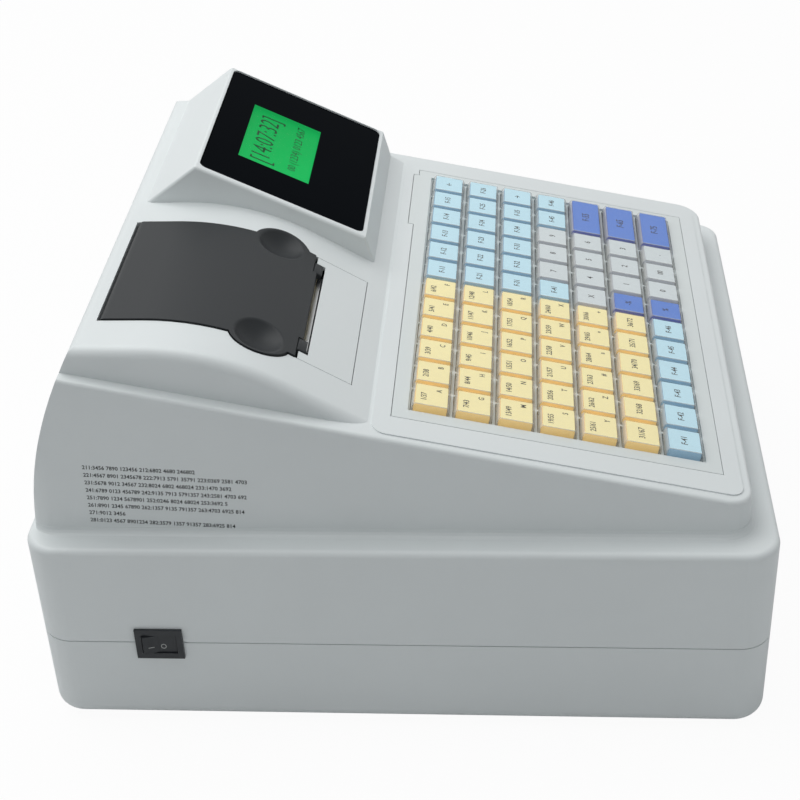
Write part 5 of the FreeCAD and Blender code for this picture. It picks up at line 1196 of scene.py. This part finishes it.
@dataclass
class RockerMarks:
    """The two marks on the rocker switch."""

    pivot: tuple[float, float] = (116.45, 50.0)
    offset: float = 2.9
    height: float = 3.0

    def build(self, rocker: bpy.types.Object) -> None:
        """Write both marks on the rocker.

        Args:
            rocker: The solid that carries them.
        """
        ink = PrintInk("mark_ink", written(150, 152, 150)).make()
        y, z = self.pivot
        marks = []
        for text, shift in (("I", self.offset), ("O", -self.offset)):
            frame = surface_frame(rocker, metres(FAR_LEFT, y + shift, z), INWARD, Vector((0, 0, 1)))
            marks.append(Lettering(self.height, ink, 0.04).write(text, frame @ LIFT))
        joined = Bench.join(marks, "rocker_marks")
        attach(joined, "switch_rocker")
        LOG.info("rocker marks")


@dataclass
class CutterEnds:
    """The two dark end blocks that hold the cutter in the lid."""

    places: tuple[tuple[float, float], ...] = ((-106.0, -96.5), (-33.7, -24.4))
    back: float = 46.3
    front: float = 41.5
    depth: float = 5.0
    foot: float = 49.62
    foot_height: float = 185.1
    fall: float = 31.0
    corner: float = 0.6

    def build(self, finish: bpy.types.Material) -> None:
        """Model one block and its twin.

        Args:
            finish: The lid's plastic.
        """
        low, high = self.places[0]
        half, reach = (high - low) / 2, (self.back - self.front) / 2
        master = Bench.block("cutter_end", (-half, -reach, -self.depth), (half, reach, 0.0))
        Bench.pick(master, "EDGE", lambda edge: all(v.co.z > -0.1 * MM for v in edge.verts))
        bpy.ops.mesh.bevel(offset=self.corner * MM, segments=3, affect="EDGES")
        Bench.paint(Bench.close(master), finish)
        middle = (self.back + self.front) / 2
        height = self.foot_height - (self.foot - middle) * math.tan(math.radians(self.fall))
        lean = Matrix.Rotation(math.radians(self.fall), 4, "X")
        spots = [Matrix.Translation(metres((a + b) / 2, middle, height)) @ lean for a, b in self.places]
        ends = [Bench.copy(master, "cutter_end", spot) for spot in spots]
        Bench.drop(master)
        joined = Bench.join(ends, "cutter_ends")
        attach(joined, "lid")
        LOG.info("cutter ends")


@dataclass
class Finishes:
    """A finish for every material slot, and the solids that differ from their slot."""

    made: dict[str, bpy.types.Material] = field(default_factory=dict)

    def table(self) -> dict[Slot, object]:
        """The finish of each slot."""
        return {
            Slot.CASE: MouldedPlastic("case_plastic", written(217, 222, 222), 0.4),
            Slot.FRAME: MouldedPlastic("frame_plastic", written(212, 218, 217), 0.36, 0.0004),
            Slot.FOOT: SoftRubber("foot_rubber", written(30, 30, 31)),
            Slot.STEEL: BrushedMetal("steel", written(196, 198, 199)),
            Slot.TRAY: MouldedPlastic("tray_enamel", written(128, 131, 134), 0.34, 0.0012, 0.00002, 0.06),
            Slot.LOCK: BrushedMetal("lock_metal", written(222, 222, 220), 0.2, (1.0, 0.05, 1.0)),
            Slot.INSERT: MouldedPlastic("insert_plastic", written(44, 45, 47), 0.5, 0.0006, 0.00004),
            Slot.CLIP: MouldedPlastic("clip_plastic", written(36, 37, 39), 0.36),
            Slot.COPPER: BandedStack("copper_winding", written(206, 134, 84), written(120, 62, 34), 0.0006,
                                     metallic=0.8, roughness=0.3),
            Slot.DARK: MouldedPlastic("dark_plastic", written(42, 45, 48), 0.34, 0.0005, 0.00002, 0.08),
            Slot.IRON: BandedStack("laminated_iron", written(112, 112, 114), written(66, 66, 68), 0.001,
                                   metallic=0.6, roughness=0.45),
            Slot.PORT: BrushedMetal("port_metal", written(200, 200, 196)),
            Slot.GREEN: MouldedPlastic("module_frame", written(24, 26, 27), 0.5),
            Slot.MAT: SoftRubber("mat_rubber", written(186, 189, 190), 0.65),
            Slot.BOARD: BoardLacquer("circuit_board", written(30, 96, 52)),
            Slot.COVER: MouldedPlastic("cover_plastic", written(39, 42, 44), 0.45, drift_share=0.05,
                                       specular=0.2),
            Slot.GEAR: MouldedPlastic("gear_plastic", written(232, 230, 222), 0.32),
            Slot.PAPER: RolledPaper("receipt_paper", written(240, 240, 236)),
            Slot.BUCKET: MouldedPlastic("bucket_plastic", written(52, 54, 56), 0.5),
            Slot.YELLOW: PrintedLabel("key_yellow", written(255, 240, 190)),
            Slot.LIGHT_BLUE: PrintedLabel("key_light_blue", written(192, 230, 245)),
            Slot.DARK_BLUE: PrintedLabel("key_dark_blue", written(96, 130, 204)),
            Slot.WHITE: PrintedLabel("key_white", written(224, 228, 231)),
        }

    def build(self, frame: dict, display: Display) -> None:
        """Dress every solid of the frame.

        Args:
            display: The display, which the pane's clear window follows.
        """
        by_slot = {slot.value: finish.make() for slot, finish in self.table().items()}
        pane = WindowGlass("operator_pane", GLASS, display.centre, display.half).make()
        by_slot[Slot.PANE.value] = pane
        own = {"platen_roller": SoftRubber("platen_rubber", written(34, 34, 36), 0.6).make(),
               "cutter_bar": BrushedMetal("cutter_metal", written(196, 184, 140), 0.45).make()}
        for part in frame["record"]["subparts"]:
            node = frame["nodes"][part["node"]]
            finish = own.get(part["node"], by_slot[part["material_slot"]])
            Bench.paint(node, finish)
            self.made[part["node"]] = finish
        LOG.info("dressed %d solids", len(self.made))


@dataclass
class Studio:
    """Floor, background, lights and camera."""

    place: tuple[float, float, float] = (-741.276, -56.357, 577.561)
    right: tuple[float, float, float] = (0.0616001, -0.9973270, -0.0392966)
    down: tuple[float, float, float] = (-0.5543098, -0.0014425, -0.8323091)
    forward: tuple[float, float, float] = (0.8300277, 0.0730528, -0.5529171)
    lens: float = 73.6
    sensor: float = 36.0
    clip: tuple[float, float] = (0.01, 50.0)
    floor_side: float = 12.0
    floor_dark: Colour = (0.78, 0.78, 0.78)
    floor_light: Colour = (0.8, 0.8, 0.8)
    floor_white: float = 0.95
    ambient: Colour = (0.355, 0.366, 0.376)
    target: tuple[float, float, float] = (0.0, 0.0, 0.1)

    def camera(self) -> None:
        """The photograph's camera."""
        data = bpy.data.cameras.new("camera")
        data.lens, data.sensor_width = self.lens, self.sensor
        data.clip_start, data.clip_end = self.clip
        camera = bpy.data.objects.new("camera", data)
        bpy.context.scene.collection.objects.link(camera)
        axes = Matrix((self.right, [-v for v in self.down], [-v for v in self.forward])).transposed()
        camera.matrix_world = Matrix.Translation(metres(*self.place)) @ axes.to_4x4()
        bpy.context.scene.camera = camera

    def lamp(self, name: str, power: float, size: float, place: Sequence[float]) -> None:
        """One soft area light.

        Args:
            name: Its name.
            power: Its power in watts.
            size: Its side in metres.
            place: Where it is.
        """
        data = bpy.data.lights.new(name, "AREA")
        data.energy, data.size = power, size
        lamp = bpy.data.objects.new(name, data)
        bpy.context.scene.collection.objects.link(lamp)
        aim = Vector(self.target) - Vector(place)
        turn = aim.to_track_quat("-Z", "Y").to_matrix().to_4x4()
        lamp.matrix_world = Matrix.Translation(Vector(place)) @ turn

    def floor(self, level: float) -> None:
        """A pale floor that keeps the object's shadow.

        Args:
            level: The ground's height.
        """
        Bench.clear()
        bpy.ops.mesh.primitive_grid_add(x_subdivisions=4, y_subdivisions=4, size=self.floor_side,
                                        location=(0, 0, level))
        bpy.ops.object.transform_apply(location=True, rotation=True, scale=True)
        floor = bpy.context.active_object
        floor.name = "floor"
        sheet = ShaderSheet("floor")
        cloud = sheet.noise(0.4, 2.0)
        sheet.dress(Base_Color=sheet.blend(cloud, self.floor_dark, self.floor_light), Roughness=0.9,
                    Specular_IOR_Level=0.0)
        seen = Value(sheet, sheet.add("ShaderNodeLightPath").outputs["Is Camera Ray"])
        glow = sheet.add("ShaderNodeEmission", None, {"Color": PURE_WHITE, "Strength": 1.0})
        mix = sheet.add("ShaderNodeMixShader", None, {0: seen * self.floor_white})
        sheet.link(sheet.shader.outputs[0], mix.inputs[1])
        sheet.link(glow.outputs[0], mix.inputs[2])
        sheet.link(mix.outputs[0], sheet.output.inputs[0])
        Bench.paint(floor, sheet.material)
        floor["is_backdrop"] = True

    def world(self) -> None:
        """A white background for the camera, and plain grey light for the object."""
        world = bpy.data.worlds.new("world")
        bpy.context.scene.world = world
        sheet = NodeSheet(world)
        path = sheet.add("ShaderNodeLightPath").outputs
        seen = Value(sheet, path["Is Camera Ray"]).larger(Value(sheet, path["Is Glossy Ray"]))
        either = seen.larger(Value(sheet, path["Is Transmission Ray"]))
        tone = sheet.blend(either, self.ambient, PURE_WHITE)
        background = sheet.add("ShaderNodeBackground", None, {"Color": tone})
        output = sheet.add("ShaderNodeOutputWorld")
        sheet.link(background.outputs[0], output.inputs[0])

    def build(self, level: float) -> None:
        """Set up the studio.

        Args:
            level: The ground's height.
        """
        bpy.context.scene.view_settings.view_transform = "Standard"
        self.camera()
        self.floor(level)
        self.world()
        self.lamp("overhead", 22.5, 1.6, (0.3, 0.55, 1.65))
        self.lamp("front_fill", 1.2, 1.4, (-0.9, -1.6, 0.7))
        LOG.info("studio")


def main() -> None:
    """Build the scene."""
    logging.basicConfig(level=logging.INFO, format="%(message)s")
    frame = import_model()
    cad_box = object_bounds()
    nodes = frame["nodes"]
    display = Display()
    finishes = Finishes()
    finishes.build(frame, display)
    Keyboard().build()
    display.build()
    SidePrint().build(nodes["top_case"])
    RockerMarks().build(nodes["rocker"])
    CutterEnds().build(finishes.made["printer_cover"])
    Studio().build(cad_box[0][2])
    Bench.clear()


if __name__ == "__main__":
    main()
